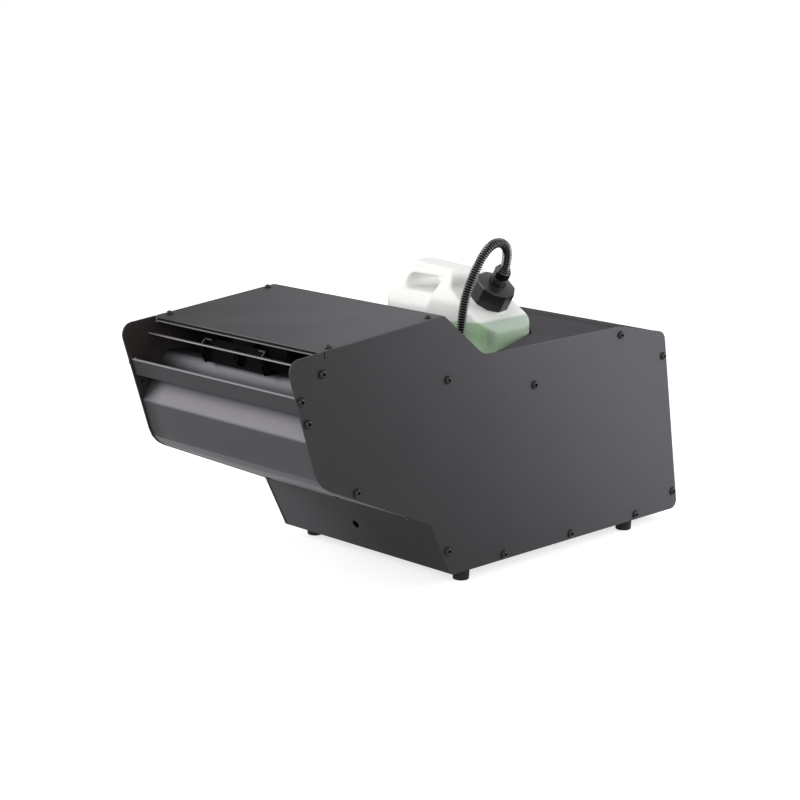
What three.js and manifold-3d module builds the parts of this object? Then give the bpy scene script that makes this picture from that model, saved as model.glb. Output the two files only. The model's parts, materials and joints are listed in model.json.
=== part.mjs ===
// Fog machine: a steel housing with a louvred fog outlet at the front, a heater and a pump inside,
// a bottle of fog fluid standing in a bay behind the hood, and the controls on the leaning rear panel.
// Millimetres. +X is the right-hand side panel, -Y the fog outlet, +Z up.
// The origin is under the middle of the housing, on the surface that the feet stand on.
import * as THREE from "three";
import { mergeVertices } from "three/addons/utils/BufferGeometryUtils.js";
import Module from "manifold-3d";

// ---------------------------------------------------------------- driving sizes
const width = 262.5; // over the outer faces of the side panels
const baseLength = 372.8; // toe to heel, along the bottom edge
const noseReach = 225.2; // how far the nose stands in front of the toe
const sideSheet = 2;
const sheet = 1.5;
const gap = 0.3; // between pieces that touch
const reveal = 0.5; // how far the cross sheets sit inside the side panels' outline

const footHeight = 14;
const footRadius = 9;
const footInset = 16; // foot centre to the outer face of the side panel
const frontFootFromToe = 30;
const rearFootFromHeel = 76.8;

// side outline, heights above the bottom edge of the side panels
const noseHeight = 259.8;
const hoodHeight = 276.9;
const hoodEnd = -12.7; // rear edge of the hood, behind the toe
const plateSetback = 45.8; // top plate's front edge behind the nose
const deckHeight = 228;
const valleyRun = 58.8;
const tailRun = 76.6; // sloped tail of the rear cover
const tailHeight = 211.6;
const tailLean = 31.6; // how far the rear edge leans forward at the tail
const chinSetback = 39.9;
const chinHeight = 129.3;
const kneeReach = 29.6;
const kneeHeight = 60.1;
const noseRadius = 12.5;
const chinRadius = 34;
const valleyRadius = 24;
const tailRadius = 12;
const heelRadius = 9;

// fasteners
const screwShank = 2;
const screwHead = 4.6;
const screwHeadHeight = 3.7;
const screwInset = 7; // from a panel edge
const tabSize = 15;

// bottle, cap and pick-up line
const bottleHalfLength = 83;
const bottleHalfDepth = 38.2;
const bottleCorner = 18;
const bottleY = 140.7; // middle of the bottle, behind the toe
const bottleShoulder = 224; // height of the low end of the shoulder above the bottle's base
const bottleWall = 2;
const handleTop = 283;
const neckTilt = THREE.MathUtils.degToRad(31);
const neckX = 46;
const neckRadius = 17.5;
const capRadius = 23;
const capHeight = 24;
const capWall = 2.2;
const fluidLevel = 234;
const hoseRadius = 4.7;
const hoseX = 70.5;
const hoseY = 72;
const hoseLift = 100; // how far the pick-up line slides through its grommet
const bayClearance = 3; // round the bottle

// heater, pump and controls
const heaterHalfWidth = 42;
const heaterLength = 118;
const heaterHeight = 86;
const nozzleHeight = 238;
const fanSize = 80;
const fanX = -68;
const fanUp = 118;

// ---------------------------------------------------------------- derived places
const inner = width / 2 - sideSheet; // inner face of a side panel
const half = inner - gap; // half width of a cross sheet
const originY = -(baseLength - noseReach) / 2; // the toe, until the length is centred at the end
const rearLean = Math.atan2(tailLean, tailHeight);
const hoodSlope = (hoodHeight - noseHeight) / (hoodEnd + noseReach);
const chin = [-noseReach + chinSetback, chinHeight];
const knee = [-kneeReach, kneeHeight];
const nose = [-noseReach, noseHeight];
const plateFront = [-noseReach + plateSetback, noseHeight + hoodSlope * plateSetback];
const hoodRear = [hoodEnd, hoodHeight];
const valley = [hoodEnd + valleyRun, deckHeight];
const tail = [baseLength - tailLean, tailHeight];
const deckRear = [tail[0] - tailRun, deckHeight];
const heel = [baseLength, 0];
const toe = [0, 0];
const tailFall = (deckHeight - tailHeight) / tailRun;
const coverHeight = (y) => deckHeight - Math.max(0, y - deckRear[0]) * tailFall;
const bayRear = bottleY + bottleHalfDepth + 24; // rear edge of the bottle's bay
const bayWall = bayRear + 1;

// ---------------------------------------------------------------- solids
const wasm = await Module();
wasm.setup();

function solidOf(geometry) {
  const plain = geometry.index ? geometry.toNonIndexed() : geometry.clone();
  plain.deleteAttribute("normal");
  plain.deleteAttribute("uv");
  const merged = mergeVertices(plain, 1e-4);
  return new wasm.Manifold(
    new wasm.Mesh({
      numProp: 3,
      vertProperties: new Float32Array(merged.attributes.position.array),
      triVerts: new Uint32Array(merged.index.array),
    }),
  );
}

function geometryOf(solid) {
  const mesh = solid.getMesh();
  const points = new Float32Array(mesh.numVert * 3);
  for (let i = 0; i < mesh.numVert; i++) {
    points.set(mesh.vertProperties.subarray(i * mesh.numProp, i * mesh.numProp + 3), i * 3);
  }
  return new THREE.BufferGeometry()
    .setAttribute("position", new THREE.BufferAttribute(points, 3))
    .setIndex(new THREE.BufferAttribute(mesh.triVerts, 1));
}

const placed = (geometry, matrix) => solidOf(geometry.applyMatrix4(matrix));
const join = (...solids) => solids.reduce((a, b) => a.add(b));
const cut = (solid, ...tools) => tools.reduce((a, b) => a.subtract(b), solid);

function box([x0, x1], [y0, y1], [z0, z1]) {
  const geometry = new THREE.BoxGeometry(x1 - x0, y1 - y0, z1 - z0);
  return solidOf(geometry.translate((x0 + x1) / 2, (y0 + y1) / 2, (z0 + z1) / 2));
}

// A cylinder, or a cone when tipRadius differs, from one point to another.
function rod(from, to, radius, sides = 16, tipRadius = radius) {
  const a = new THREE.Vector3(...from);
  const b = new THREE.Vector3(...to);
  const length = a.distanceTo(b);
  const geometry = new THREE.CylinderGeometry(tipRadius, radius, length, sides);
  const turn = new THREE.Quaternion().setFromUnitVectors(
    new THREE.Vector3(0, 1, 0),
    b.clone().sub(a).normalize(),
  );
  const middle = a.add(b).multiplyScalar(0.5);
  return placed(geometry, new THREE.Matrix4().compose(middle, turn, new THREE.Vector3(1, 1, 1)));
}

// A turned solid: the profile lists [radius, height] and starts and ends on the axis.
function turned(profile, sides = 24) {
  const geometry = new THREE.LatheGeometry(profile.map(([r, h]) => new THREE.Vector2(r, h)), sides);
  return placed(geometry, new THREE.Matrix4().makeRotationX(Math.PI / 2));
}

// Corner points of an outline, each [a, b] or [a, b, radius], with the corners rounded.
function rounded(corners, closed = true) {
  const out = [];
  corners.forEach(([a, b, radius = 0], i) => {
    const point = new THREE.Vector2(a, b);
    const isEnd = !closed && (i === 0 || i === corners.length - 1);
    if (!radius || isEnd) {
      out.push(point);
      return;
    }
    const before = new THREE.Vector2(...corners.at(i - 1).slice(0, 2)).sub(point);
    const after = new THREE.Vector2(...corners[(i + 1) % corners.length].slice(0, 2)).sub(point);
    const u = before.clone().normalize();
    const v = after.clone().normalize();
    const bend = Math.acos(THREE.MathUtils.clamp(u.dot(v), -1, 1));
    const reach = Math.min(radius / Math.tan(bend / 2), before.length() * 0.48, after.length() * 0.48);
    const trueRadius = reach * Math.tan(bend / 2);
    const centre = point.clone().add(
      u.clone().add(v).normalize().multiplyScalar(trueRadius / Math.sin(bend / 2)),
    );
    const start = point.clone().addScaledVector(u, reach).sub(centre);
    const turn = (Math.PI - bend) * (u.x * v.y - u.y * v.x < 0 ? 1 : -1);
    const steps = Math.max(1, Math.ceil(Math.abs(turn) / 0.3));
    for (let k = 0; k <= steps; k++) {
      out.push(start.clone().rotateAround(new THREE.Vector2(), (turn * k) / steps).add(centre));
    }
  });
  return out;
}

function prism(outline, depth, basis, offset) {
  const geometry = new THREE.ExtrudeGeometry(new THREE.Shape(outline), { depth, bevelEnabled: false });
  return placed(geometry, basis.setPosition(...offset));
}

// Outlines in the Y-Z, X-Y and X-Z planes, drawn out along the third axis.
const X = new THREE.Vector3(1, 0, 0);
const Y = new THREE.Vector3(0, 1, 0);
const Z = new THREE.Vector3(0, 0, 1);
const alongX = (outline, x0, x1) =>
  prism(outline, x1 - x0, new THREE.Matrix4().makeBasis(Y, Z, X), [x0, 0, 0]);
const alongZ = (outline, z0, z1) =>
  prism(outline, z1 - z0, new THREE.Matrix4().makeBasis(X, Y, Z), [0, 0, z0]);
const alongY = (outline, y0, y1) =>
  prism(outline, y1 - y0, new THREE.Matrix4().makeBasis(X, Z, Y.clone().negate()), [0, y1, 0]);

// The same path moved sideways by a distance, to the left of its direction when positive.
function moved(path, distance) {
  const points = path.map(([a, b]) => new THREE.Vector2(a, b));
  return path.map(([, , radius = 0], i) => {
    const ahead = points[Math.min(i + 1, points.length - 1)].clone();
    const behind = points[Math.max(i - 1, 0)].clone();
    const u = (i ? points[i].clone().sub(behind) : ahead.clone().sub(points[i])).normalize();
    const v = (i < points.length - 1 ? ahead.sub(points[i]) : points[i].clone().sub(behind)).normalize();
    const left = new THREE.Vector2(-u.y - v.y, u.x + v.x).normalize();
    const stretch = distance / Math.sqrt((1 + u.dot(v)) / 2);
    const turnsLeft = u.x * v.y - u.y * v.x > 0;
    const newRadius = radius ? Math.max(radius + (turnsLeft ? -distance : distance), 0.2) : 0;
    return [points[i].x + left.x * stretch, points[i].y + left.y * stretch, newRadius];
  });
}

// A folded sheet: the path is one face of it in the Y-Z plane, the metal lies to its left.
function foldedSheet(path, x0 = -half, x1 = half, thickness = sheet) {
  const back = rounded(moved(path, thickness), false).reverse();
  return alongX([...rounded(path, false), ...back], x0, x1);
}

// ---------------------------------------------------------------- fasteners and their tabs
// A place beside an outline edge, and the edge's slope: a distance along it and inside it.
function inside([fromY, fromZ], [toY, toZ], distance, inset = screwInset) {
  const way = new THREE.Vector2(toY - fromY, toZ - fromZ).normalize();
  const place = [fromY + way.x * distance - way.y * inset, fromZ + way.y * distance + way.x * inset];
  return [...place, way.angle()];
}

const lowerLouvreScrews = [inside(nose, chin, 43), inside(nose, chin, 68)];
const upperLouvreScrew = [plateFront[0], plateFront[1] - 20];
const bellyScrew = inside(chin, knee, 52);
const lowerFrontScrew = inside(knee, toe, Math.hypot(...knee) - 28.5);
const basePitch = (baseLength - 155) / 2;
const baseScrews = [0, 1, 2].map((i) => [79 + basePitch * i, screwInset, 0]);
const rearScrews = [inside(heel, tail, 23), inside(heel, tail, 188)];
// where the deck bends into the tail, or behind the bay's rear wall on a short housing
const coverScrewY = Math.max(deckRear[0], bayWall + sheet + gap + tabSize / 2 + 1);
const coverFall = coverScrewY > deckRear[0] ? Math.atan(tailFall) : 0;
const coverScrew = [coverScrewY, coverHeight(coverScrewY) - screwInset - 1.5, Math.PI - coverFall];
const floorTilt = Math.atan(0.1945);
const bayScrews = [[hoodEnd + 5, 211, Math.PI - floorTilt], [123.5, 185.4, Math.PI - floorTilt]];
const sideScrews = [
  ...lowerLouvreScrews, upperLouvreScrew, bellyScrew, lowerFrontScrew, ...baseScrews,
  ...rearScrews, coverScrew, ...bayScrews,
];

// A button-head screw with its head's seat at the origin and its head towards +Z.
function screw(shankLength) {
  const crown = [[screwHead, 0], [screwHead, 1.2], [screwHead * 0.8, 2.6], [1.6, screwHeadHeight]];
  const socket = [[1.6, 1.6], [0, 1.6]];
  return turned([[0, -shankLength], [screwShank, -shankLength], [screwShank, 0], ...crown, ...socket], 12);
}

const screwHole = ([y, z], x0 = -width, x1 = width) => rod([x0, y, z], [x1, y, z], screwShank + gap, 10);

// Two tabs at the ends of a cross sheet, flat against the side panels, with a hole at each place.
function tabs(corners, places) {
  const outline = rounded(corners.map(([y, z]) => [y, z, 2.5]));
  return [-1, 1].map((side) => {
    const [x0, x1] = [side * (half - sheet), side * half].sort((a, b) => a - b);
    return cut(alongX(outline, x0, x1), ...places.map((place) => screwHole(place)));
  });
}

// Two square tabs that stand on a sheet: depth is how far the sheet lies outside the screw.
function squareTabs([y, z, slope], depth = screwInset - reveal - sheet / 2) {
  const corners = [[-tabSize / 2, -depth], [tabSize / 2, -depth], [tabSize / 2, 7], [-tabSize / 2, 7]];
  const turn = (a, b) => new THREE.Vector2(a, b).rotateAround(new THREE.Vector2(), slope).toArray();
  return tabs(corners.map(([a, b]) => turn(a, b)).map(([a, b]) => [a + y, b + z]), [[y, z]]);
}

// ---------------------------------------------------------------- the pieces
const machine = new THREE.Group();
const housing = new THREE.Group(); // its origin is the toe, on the bottom edge of the side panels
housing.position.set(0, originY, footHeight);
machine.add(housing);
const rear = new THREE.Group(); // its origin is the heel: Y leads out of the leaning rear panel
rear.position.set(0, baseLength, 0);
rear.rotation.x = rearLean;
housing.add(rear);
const bottleStand = new THREE.Group(); // its origin is under the middle of the bottle
const bottleBase = 14;
bottleStand.position.set(0, bottleY, bottleBase);
housing.add(bottleStand);
const neck = new THREE.Group(); // its origin is on the shoulder, Z leads out of the neck
const shoulderAt = (x) => bottleShoulder + (bottleHalfLength - x) * Math.tan(neckTilt);
neck.position.set(neckX, 0, shoulderAt(neckX));
neck.rotation.y = neckTilt;
bottleStand.add(neck);

const paint = () => new THREE.MeshStandardMaterial({ color: 0x55565a, roughness: 0.55, metalness: 0.3 });
const dark = () => new THREE.MeshStandardMaterial({ color: 0x1c1c1e, roughness: 0.5, metalness: 0 });
const steel = () => new THREE.MeshStandardMaterial({ color: 0xa8aaad, roughness: 0.4, metalness: 0.9 });
const rubber = () => new THREE.MeshStandardMaterial({ color: 0x161616, roughness: 0.85, metalness: 0 });
const milky = () => new THREE.MeshStandardMaterial({ color: 0xf2f4f0, roughness: 0.35, metalness: 0 });
const tinted = (color) => new THREE.MeshStandardMaterial({ color, roughness: 0.4, metalness: 0 });

function piece(name, solid, material, group = housing) {
  const mesh = new THREE.Mesh(geometryOf(solid), material);
  mesh.name = name;
  group.add(mesh);
  return mesh;
}

// ---- side panels: one flat sheet each, with a flange under the top plate behind a relief slit
const flangeWidth = 12;
const slitBehindPlate = 4;

function sidePanel(side) {
  const outline = rounded([
    [...toe, 3], [...heel, heelRadius], [...tail, tailRadius], [...deckRear, 6],
    [...valley, valleyRadius], [...hoodRear, 3], [...nose, noseRadius], [...chin, chinRadius], [...knee, 3],
  ]);
  const [x0, x1] = [side * inner, (side * width) / 2].sort((a, b) => a - b);
  const flangeFront = [plateFront[0] + slitBehindPlate, plateFront[1] + slitBehindPlate * hoodSlope];
  const underPlate = moved([hoodRear, flangeFront], sheet + gap);
  const flangeX = [side * (inner - flangeWidth), side * (inner + 0.5)].sort((a, b) => a - b);
  const start = [underPlate[0][0] - 4, underPlate[0][1] - 4 * hoodSlope];
  const flange = foldedSheet([start, underPlate[1]], ...flangeX);
  const slitY = plateFront[0] + slitBehindPlate - 2;
  const slit = box([x0 - 1, x1 + 1], [slitY, slitY + 1.7], [plateFront[1] - 7, plateFront[1] + 5]);
  const holes = sideScrews.map((place) => screwHole(place, x0 - 1, x1 + 1));
  const topHoles = topScrewPlaces.filter(([x]) => x * side > 0).map(topScrewHole);
  return cut(join(cut(alongX(outline, x0, x1), slit), flange), ...holes, ...topHoles);
}

// ---- top plate, its screws and the liner below it
const hoodTilt = Math.atan(hoodSlope);
const topScrewX = width / 2 - 8;
const topScrewPlaces = [15, plateFront[0] * -1 + hoodEnd - 16].flatMap((back) =>
  [topScrewX, -topScrewX].map((x) => [x, plateFront[0] + back]),
);
const hoodSurface = (y) => noseHeight + hoodSlope * (y + noseReach);
const upFromHood = ([x, y], rise) => [
  x, y - Math.sin(hoodTilt) * rise, hoodSurface(y) + Math.cos(hoodTilt) * rise,
];
const topScrewHole = (place) => rod(upFromHood(place, -8), upFromHood(place, 4), screwShank + gap, 10);

function topPlate() {
  return cut(foldedSheet([hoodRear, plateFront]), ...topScrewPlaces.map(topScrewHole));
}

function topLiner() {
  const depth = 2 * sheet + 2 * gap;
  const [back, front] = moved([[hoodEnd - 8, hoodSurface(hoodEnd - 8)], plateFront], depth);
  const liner = foldedSheet([back, front], -inner + flangeWidth - 1, inner - flangeWidth + 1);
  const along = (run) => [front[0] + run, front[1] + run * hoodSlope];
  const strip = foldedSheet([along(3), along(-1.2)]); // its front edge shows below the plate's
  return cut(join(liner, strip), ...topScrewPlaces.map(topScrewHole));
}

// ---- front: two louvres, the belly under them and the lower front panel
const frontEdge = (z) => nose[0] + ((nose[1] - z) * chinSetback) / (noseHeight - chinHeight);
const outletFloor = noseHeight - 34.3; // top of the belly's sloped apron
const apronFold = chinHeight + 47.6;
const lipTop = noseHeight - 34.9;
const lipHeight = 19.5;

function upperLouvre() {
  const [y, z] = upperLouvreScrew;
  const under = z + screwShank + gap + 0.3;
  const blade = foldedSheet([[y - 9, under], [y - 5.6, under]]);
  return join(blade, ...tabs([[y - 8, z - 7], [y + 8, z - 7], [y + 8, under + 1], [y - 8, under + 1]], [upperLouvreScrew]));
}

function lowerLouvre() {
  const lipBottom = lipTop - lipHeight;
  const face = [
    [frontEdge(lipTop) + 25, lipTop - 9],
    [frontEdge(lipTop) + reveal + 1.4, lipTop, 1.8],
    [frontEdge(lipBottom) + reveal + 1.4, lipBottom],
  ];
  const bottom = lowerLouvreScrews[1][1] - 6;
  const front = (z) => frontEdge(z) + reveal + 2.4;
  const corners = [[front(bottom), bottom], [front(bottom) + 11, bottom], [front(lipTop) + 22, lipTop - 8]];
  const ears = tabs([...corners, [front(lipTop) + 10, lipTop - 3], [front(lipTop - 3), lipTop - 3]], lowerLouvreScrews);
  return join(foldedSheet(face), ...ears);
}

// corners of the belly and the lower front panel, inside the side outline by the reveal
const skin = moved([nose, chin, knee, toe, heel], reveal);
const bellyKnee = skin[2];
const kneeWay = new THREE.Vector2(bellyKnee[0] - skin[1][0], bellyKnee[1] - skin[1][1]).normalize();
const bellyScrewX = [-110, 0, 110].map((x) => (x / 110) * (width / 2 - 21));
const kneeFlange = 24;
const shinWay = new THREE.Vector2(skin[3][0] - bellyKnee[0], skin[3][1] - bellyKnee[1]).normalize();
const kneeBend = Math.abs(kneeWay.cross(shinWay));
const kneeJoint = (sheet * kneeWay.dot(shinWay)) / kneeBend + gap + 0.2; // belly's end before the knee

function underKneeScrew(x) {
  const foot = [bellyKnee[0] - kneeWay.x * 15, bellyKnee[1] - kneeWay.y * 15];
  const normal = [-kneeWay.y, kneeWay.x];
  const at = (rise) => [x, foot[0] + normal[0] * rise, foot[1] + normal[1] * rise];
  return rod(at(-4), at(8), screwShank + gap, 10);
}

function bellyPanel() {
  const apronRun = 33.5;
  const fold = [frontEdge(apronFold) + reveal + 1, apronFold, 1.6];
  const face = [
    [fold[0] + apronRun + 13, outletFloor],
    [fold[0] + apronRun, outletFloor, 2],
    fold,
    [skin[1][0] + 0.5, skin[1][1], chinRadius],
    [bellyKnee[0] - kneeWay.x * kneeJoint, bellyKnee[1] - kneeWay.y * kneeJoint],
  ];
  const panel = join(foldedSheet(face), ...squareTabs(bellyScrew));
  return cut(panel, ...bellyScrewX.map(underKneeScrew));
}

function lowerFrontPanel() {
  const rise = sheet + gap;
  const start = [bellyKnee[0] - kneeWay.x * kneeFlange, bellyKnee[1] - kneeWay.y * kneeFlange];
  const over = moved([start, bellyKnee], rise);
  const above = rise / kneeBend;
  const corner = [bellyKnee[0] - shinWay.x * above, bellyKnee[1] - shinWay.y * above, 1.6];
  const panel = join(
    foldedSheet([over[0], corner, [...skin[3], 2], [15, skin[3][1]]]),
    ...squareTabs(lowerFrontScrew),
  );
  const drain = rod([0, -40, 30.8], [0, 10, 30.8], 4.5, 16);
  return cut(panel, drain, ...bellyScrewX.map(underKneeScrew));
}

// ---- base pan and feet
const panBottom = reveal + sheet + gap;
const panTop = panBottom + sheet;

function basePan() {
  const pan = box([-half, half], [4, baseLength - 7], [panBottom, panTop]);
  const ears = baseScrews.flatMap((place) => squareTabs(place, screwInset - panBottom - sheet / 2));
  return join(pan, ...ears);
}

function foot() {
  return turned([
    [0, -footHeight], [footRadius - 0.6, -footHeight], [footRadius - 0.2, -footHeight + 0.8],
    [footRadius + 0.6, panBottom - gap], [0, panBottom - gap],
  ], 20);
}

// ---- rear cover: level deck, sloped tail and a drop over the rear panel
const bayFront = valley[0] + 11;
const bayNarrow = bottleHalfLength + bayClearance;
const bayTaperEnd = bottleY + bottleHalfDepth - 11;
const rearDrop = 12;

function rearCover() {
  const face = moved([heel, tail, deckRear, [bayFront, deckHeight]], reveal);
  const drop = [
    face[1][0] + Math.sin(rearLean) * rearDrop,
    face[1][1] - Math.cos(rearLean) * rearDrop,
  ];
  face[1][2] = tailRadius - 2;
  face[2][2] = 5;
  const cover = foldedSheet([drop, ...face.slice(1)]);
  const corner = bayRear - bayTaperEnd;
  const mouth = [
    [-half - 1, bayFront - 3], [half + 1, bayFront - 3], [half + 1, bayFront + 3],
    [bayNarrow, bayTaperEnd], [bayNarrow - corner, bayRear],
    [-bayNarrow + corner, bayRear], [-bayNarrow, bayTaperEnd], [-half - 1, bayFront + 3],
  ].map(([x, y]) => new THREE.Vector2(x, y));
  const bayMouth = alongZ(mouth, deckHeight - 8, deckHeight + 5);
  const depth = (screwInset + 1.5) * Math.cos(coverFall) - reveal - sheet / 2;
  return join(cut(cover, bayMouth), ...squareTabs(coverScrew, depth));
}

// ---- bay liner: the wall behind the hood, the sloping floor round the bottle and a rear wall
const bayFloorFront = bayScrews[0][1] + 9;
const bayFloorSlope = Math.tan(floorTilt);
const bayFloor = (y) => bayFloorFront - bayFloorSlope * (y - hoodEnd);
const bottleOutline = (grow) => {
  const [a, b] = [bottleHalfLength + grow, bottleHalfDepth + grow];
  const r = bottleCorner + grow;
  return rounded([[-a, -b, r], [a, -b, r], [a, b, r], [-a, b, r]]);
};

function bayLiner() {
  const wallY = hoodEnd - 2;
  const face = [
    [bayWall, coverHeight(bayWall + sheet) - reveal - sheet - gap],
    [bayWall, bayFloor(bayWall), 3],
    [wallY, bayFloor(wallY), 3],
    [wallY, hoodSurface(wallY) - sheet - gap],
  ];
  const liner = foldedSheet(face.reverse().map(([y, z, r]) => [y, z, r]), -half, half, -sheet);
  const well = alongZ(
    bottleOutline(bayClearance).map((p) => new THREE.Vector2(p.x, p.y + bottleY)), 100, deckHeight,
  );
  const ears = bayScrews.flatMap((place) => {
    const above = (bayFloor(place[0]) - place[1]) * Math.cos(floorTilt);
    return squareTabs(place, above - sheet / 2);
  });
  return cut(join(liner, ...ears), well, grommetHole(9));
}

// ---- hose grommet, square to the bay floor
const grommetCentre = [hoseX, hoseY, bayFloor(hoseY) - sheet / 2];
const alongFloorNormal = (d) => [
  hoseX, hoseY + Math.sin(floorTilt) * d, grommetCentre[2] + Math.cos(floorTilt) * d,
];
const grommetHole = (radius) => rod(alongFloorNormal(-12), alongFloorNormal(12), radius, 20);

function grommet() {
  const body = join(
    rod(alongFloorNormal(-4), alongFloorNormal(-sheet / 2 - gap), 11, 20),
    rod(alongFloorNormal(-4), alongFloorNormal(4), 8.7, 20),
    rod(alongFloorNormal(sheet / 2 + gap), alongFloorNormal(4), 11.5, 20),
  );
  return cut(body, rod([hoseX, hoseY, 180], [hoseX, hoseY, 230], hoseRadius + 1.4, 16));
}

// ---- cradle that the bottle stands in
function bottleCradle() {
  const floorTop = bottleBase - gap;
  const shift = (points) => points.map((p) => new THREE.Vector2(p.x, p.y + bottleY));
  const block = alongZ(shift(bottleOutline(6)), panTop + gap, floorTop + 12);
  return cut(block, alongZ(shift(bottleOutline(1.2)), floorTop, floorTop + 20));
}

// ---- heater, its shelf and saddles, thermostat, nozzle and bracket
const heaterRear = hoodEnd - 16;
const heaterFront = heaterRear - heaterLength;
const heaterTop = nozzleHeight + 12;
const heaterBottom = heaterTop - heaterHeight;
const saddleHeight = 8;
const shelfTop = heaterBottom - saddleHeight - 2 * gap;

function heaterBlock() {
  const block = box([-heaterHalfWidth, heaterHalfWidth], [heaterFront, heaterRear], [heaterBottom, heaterTop]);
  const grooves = [-1, 1].flatMap((side) =>
    [0, 1, 2, 3].map((i) => {
      const z = heaterBottom + 12 + i * 18;
      const x = [side * (heaterHalfWidth - 4), side * (heaterHalfWidth + 1)].sort((a, b) => a - b);
      return box(x, [heaterFront - 1, heaterRear + 1], [z, z + 7]);
    }),
  );
  return cut(block, ...grooves);
}

function heaterShelf() {
  const shelf = box([-half, half], [heaterFront - 14, heaterRear + 8], [shelfTop - sheet, shelfTop]);
  const rims = [-1, 1].map((side) => {
    const x = [side * (half - sheet), side * half].sort((a, b) => a - b);
    return box(x, [heaterFront - 14, heaterRear + 8], [shelfTop - 14, shelfTop]);
  });
  return join(shelf, ...rims);
}

const saddle = (y) =>
  box([-heaterHalfWidth + 4, heaterHalfWidth - 4], [y, y + 14], [shelfTop + gap, shelfTop + gap + saddleHeight]);

function thermostat() {
  const [y, z] = [heaterFront + heaterLength * 0.6, heaterTop + gap];
  const lid = rod([14, y, z], [14, y, z + 6], 8, 16);
  const ears = box([2, 26], [y - 4, y + 4], [z, z + 1.2]);
  const pins = [10, 18].map((x) => box([x - 1.5, x + 1.5], [y - 3, y + 3], [z + 5, z + 9]));
  return join(lid, ears, ...pins);
}

const nozzleReach = 33;

function nozzle() {
  const [y0, y1] = [heaterFront - gap, heaterFront - nozzleReach];
  const hex = rod([0, y0, nozzleHeight], [0, y0 - 9, nozzleHeight], 10, 6);
  const tube = rod([0, y0 - 8, nozzleHeight], [0, y1, nozzleHeight], 6, 14, 4.6);
  const bore = rod([0, y1 - 1, nozzleHeight], [0, y0 - 4, nozzleHeight], 2.2, 10);
  return cut(join(hex, tube), bore);
}

const bracketEnds = [-52, 43];
const bracketDepth = 9;

// A window plate round the nozzle, with a cheek at each end and a foot on the belly's rear flange.
function nozzleBracket() {
  const back = plateFront[0] + 7;
  const front = back - bracketDepth;
  const base = outletFloor + gap;
  const top = base + 25;
  const plate = join(
    box(bracketEnds, [back, back + sheet], [base, top]),
    box(bracketEnds, [back, back + 16], [base, base + sheet]),
  );
  const outline = rounded([
    [back + 1, base], [back - 4, base], [front, base + 9], [front + 1, top - 5], [back - 3, top], [back + 1, top],
  ]);
  const ends = [-1, 1].flatMap((side) => {
    const end = bracketEnds[(side + 1) / 2];
    const sorted = (...insets) => insets.map((inset) => end - side * inset).sort((m, n) => m - n);
    const cheek = alongX(outline, ...sorted(sheet, 0));
    const rows = [0, 1, 2].map((i) => [front + 3 + 2.6 * i, base + 12 - 3.4 * i]);
    const holes = rows.map(([y, z]) => rod([end - 8, y, z], [end + 8, y, z], 1.1, 8));
    const lip = box(sorted(11, 0), [back - 3, back + 1], [top - sheet, top]);
    return [cut(cheek, ...holes), lip];
  });
  const window = rod([0, back - 5, nozzleHeight], [0, back + 5, nozzleHeight], 10, 20);
  return cut(join(plate, ...ends), window);
}

// ---- pump, its bracket and the lines to and from it
const pumpX = -62;
const pumpY = 44;
const pumpZ = 44;
const pumpRadius = 20;
const pumpHalfLength = 28;
const lineRadius = 2.5;

function pump() {
  const axis = (y) => [pumpX, pumpY + y, pumpZ];
  const coil = box(
    [pumpX - pumpRadius - 3, pumpX + pumpRadius + 3], [pumpY - 16, pumpY + 18],
    [pumpZ - pumpRadius, pumpZ + pumpRadius + 4],
  );
  return join(
    rod(axis(-pumpHalfLength), axis(pumpHalfLength), 12, 18), coil,
    rod(axis(-pumpHalfLength - 8), axis(-pumpHalfLength + 1), 5, 12),
    rod(axis(pumpHalfLength - 1), axis(pumpHalfLength + 8), 5, 12),
  );
}

function pumpBracket() {
  const foot = box([pumpX - 34, pumpX + 34], [pumpY - 22, pumpY + 24], [panTop + gap, panTop + gap + 2]);
  const cheeks = [-1, 1].map((side) => {
    const x = [side * (pumpRadius + 3 + gap), side * (pumpRadius + 5 + gap)].sort((a, b) => a - b);
    return box([pumpX + x[0], pumpX + x[1]], [pumpY - 14, pumpY + 16], [panTop + gap, pumpZ + 8]);
  });
  return join(foot, ...cheeks);
}

// A round line of one radius through the given points.
function line(points, radius, sides, steps) {
  const path = new THREE.CatmullRomCurve3(points.map((p) => new THREE.Vector3(...p)), false, "centripetal");
  const ring = new THREE.Shape(
    Array.from({ length: sides }, (_, i) => {
      const angle = (2 * Math.PI * i) / sides;
      return new THREE.Vector2(Math.cos(angle) * radius, Math.sin(angle) * radius);
    }),
  );
  return solidOf(new THREE.ExtrudeGeometry(ring, { steps, bevelEnabled: false, extrudePath: path }));
}

const pressureRoute = [
  [pumpX, pumpY - pumpHalfLength - 8 - gap, pumpZ],
  [pumpX, pumpY - pumpHalfLength - 12, pumpZ],
  [pumpX - 3, pumpY - pumpHalfLength - 20, pumpZ + 6],
  [pumpX - 5, hoodEnd + 6, pumpZ + 28],
  [pumpX - 2, hoodEnd + 4, 108],
  [pumpX + 14, hoodEnd + 6, 150],
  [-22, hoodEnd + 4, heaterBottom + 26],
  [-18, heaterRear + 8, heaterBottom + 34],
  [-18, heaterRear + gap, heaterBottom + 34],
];

const tailLength = hoseLift + 8;
const tailTop = bayFloor(hoseY) + 3;
const suctionRoute = [
  [pumpX, pumpY + pumpHalfLength + 8 + gap, pumpZ],
  [pumpX, pumpY + pumpHalfLength + 11, pumpZ],
  [pumpX + 14, pumpY + pumpHalfLength + 15, pumpZ - 2],
  [pumpX + 46, hoseY + 4, pumpZ - 6],
  [hoseX - 30, hoseY - 8, pumpZ + 4],
  [hoseX - 4, hoseY - 2, pumpZ + 16],
  [hoseX, hoseY, pumpZ + 30],
  [hoseX, hoseY, tailTop - tailLength + 2],
  [hoseX, hoseY, tailTop - 10],
];

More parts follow.
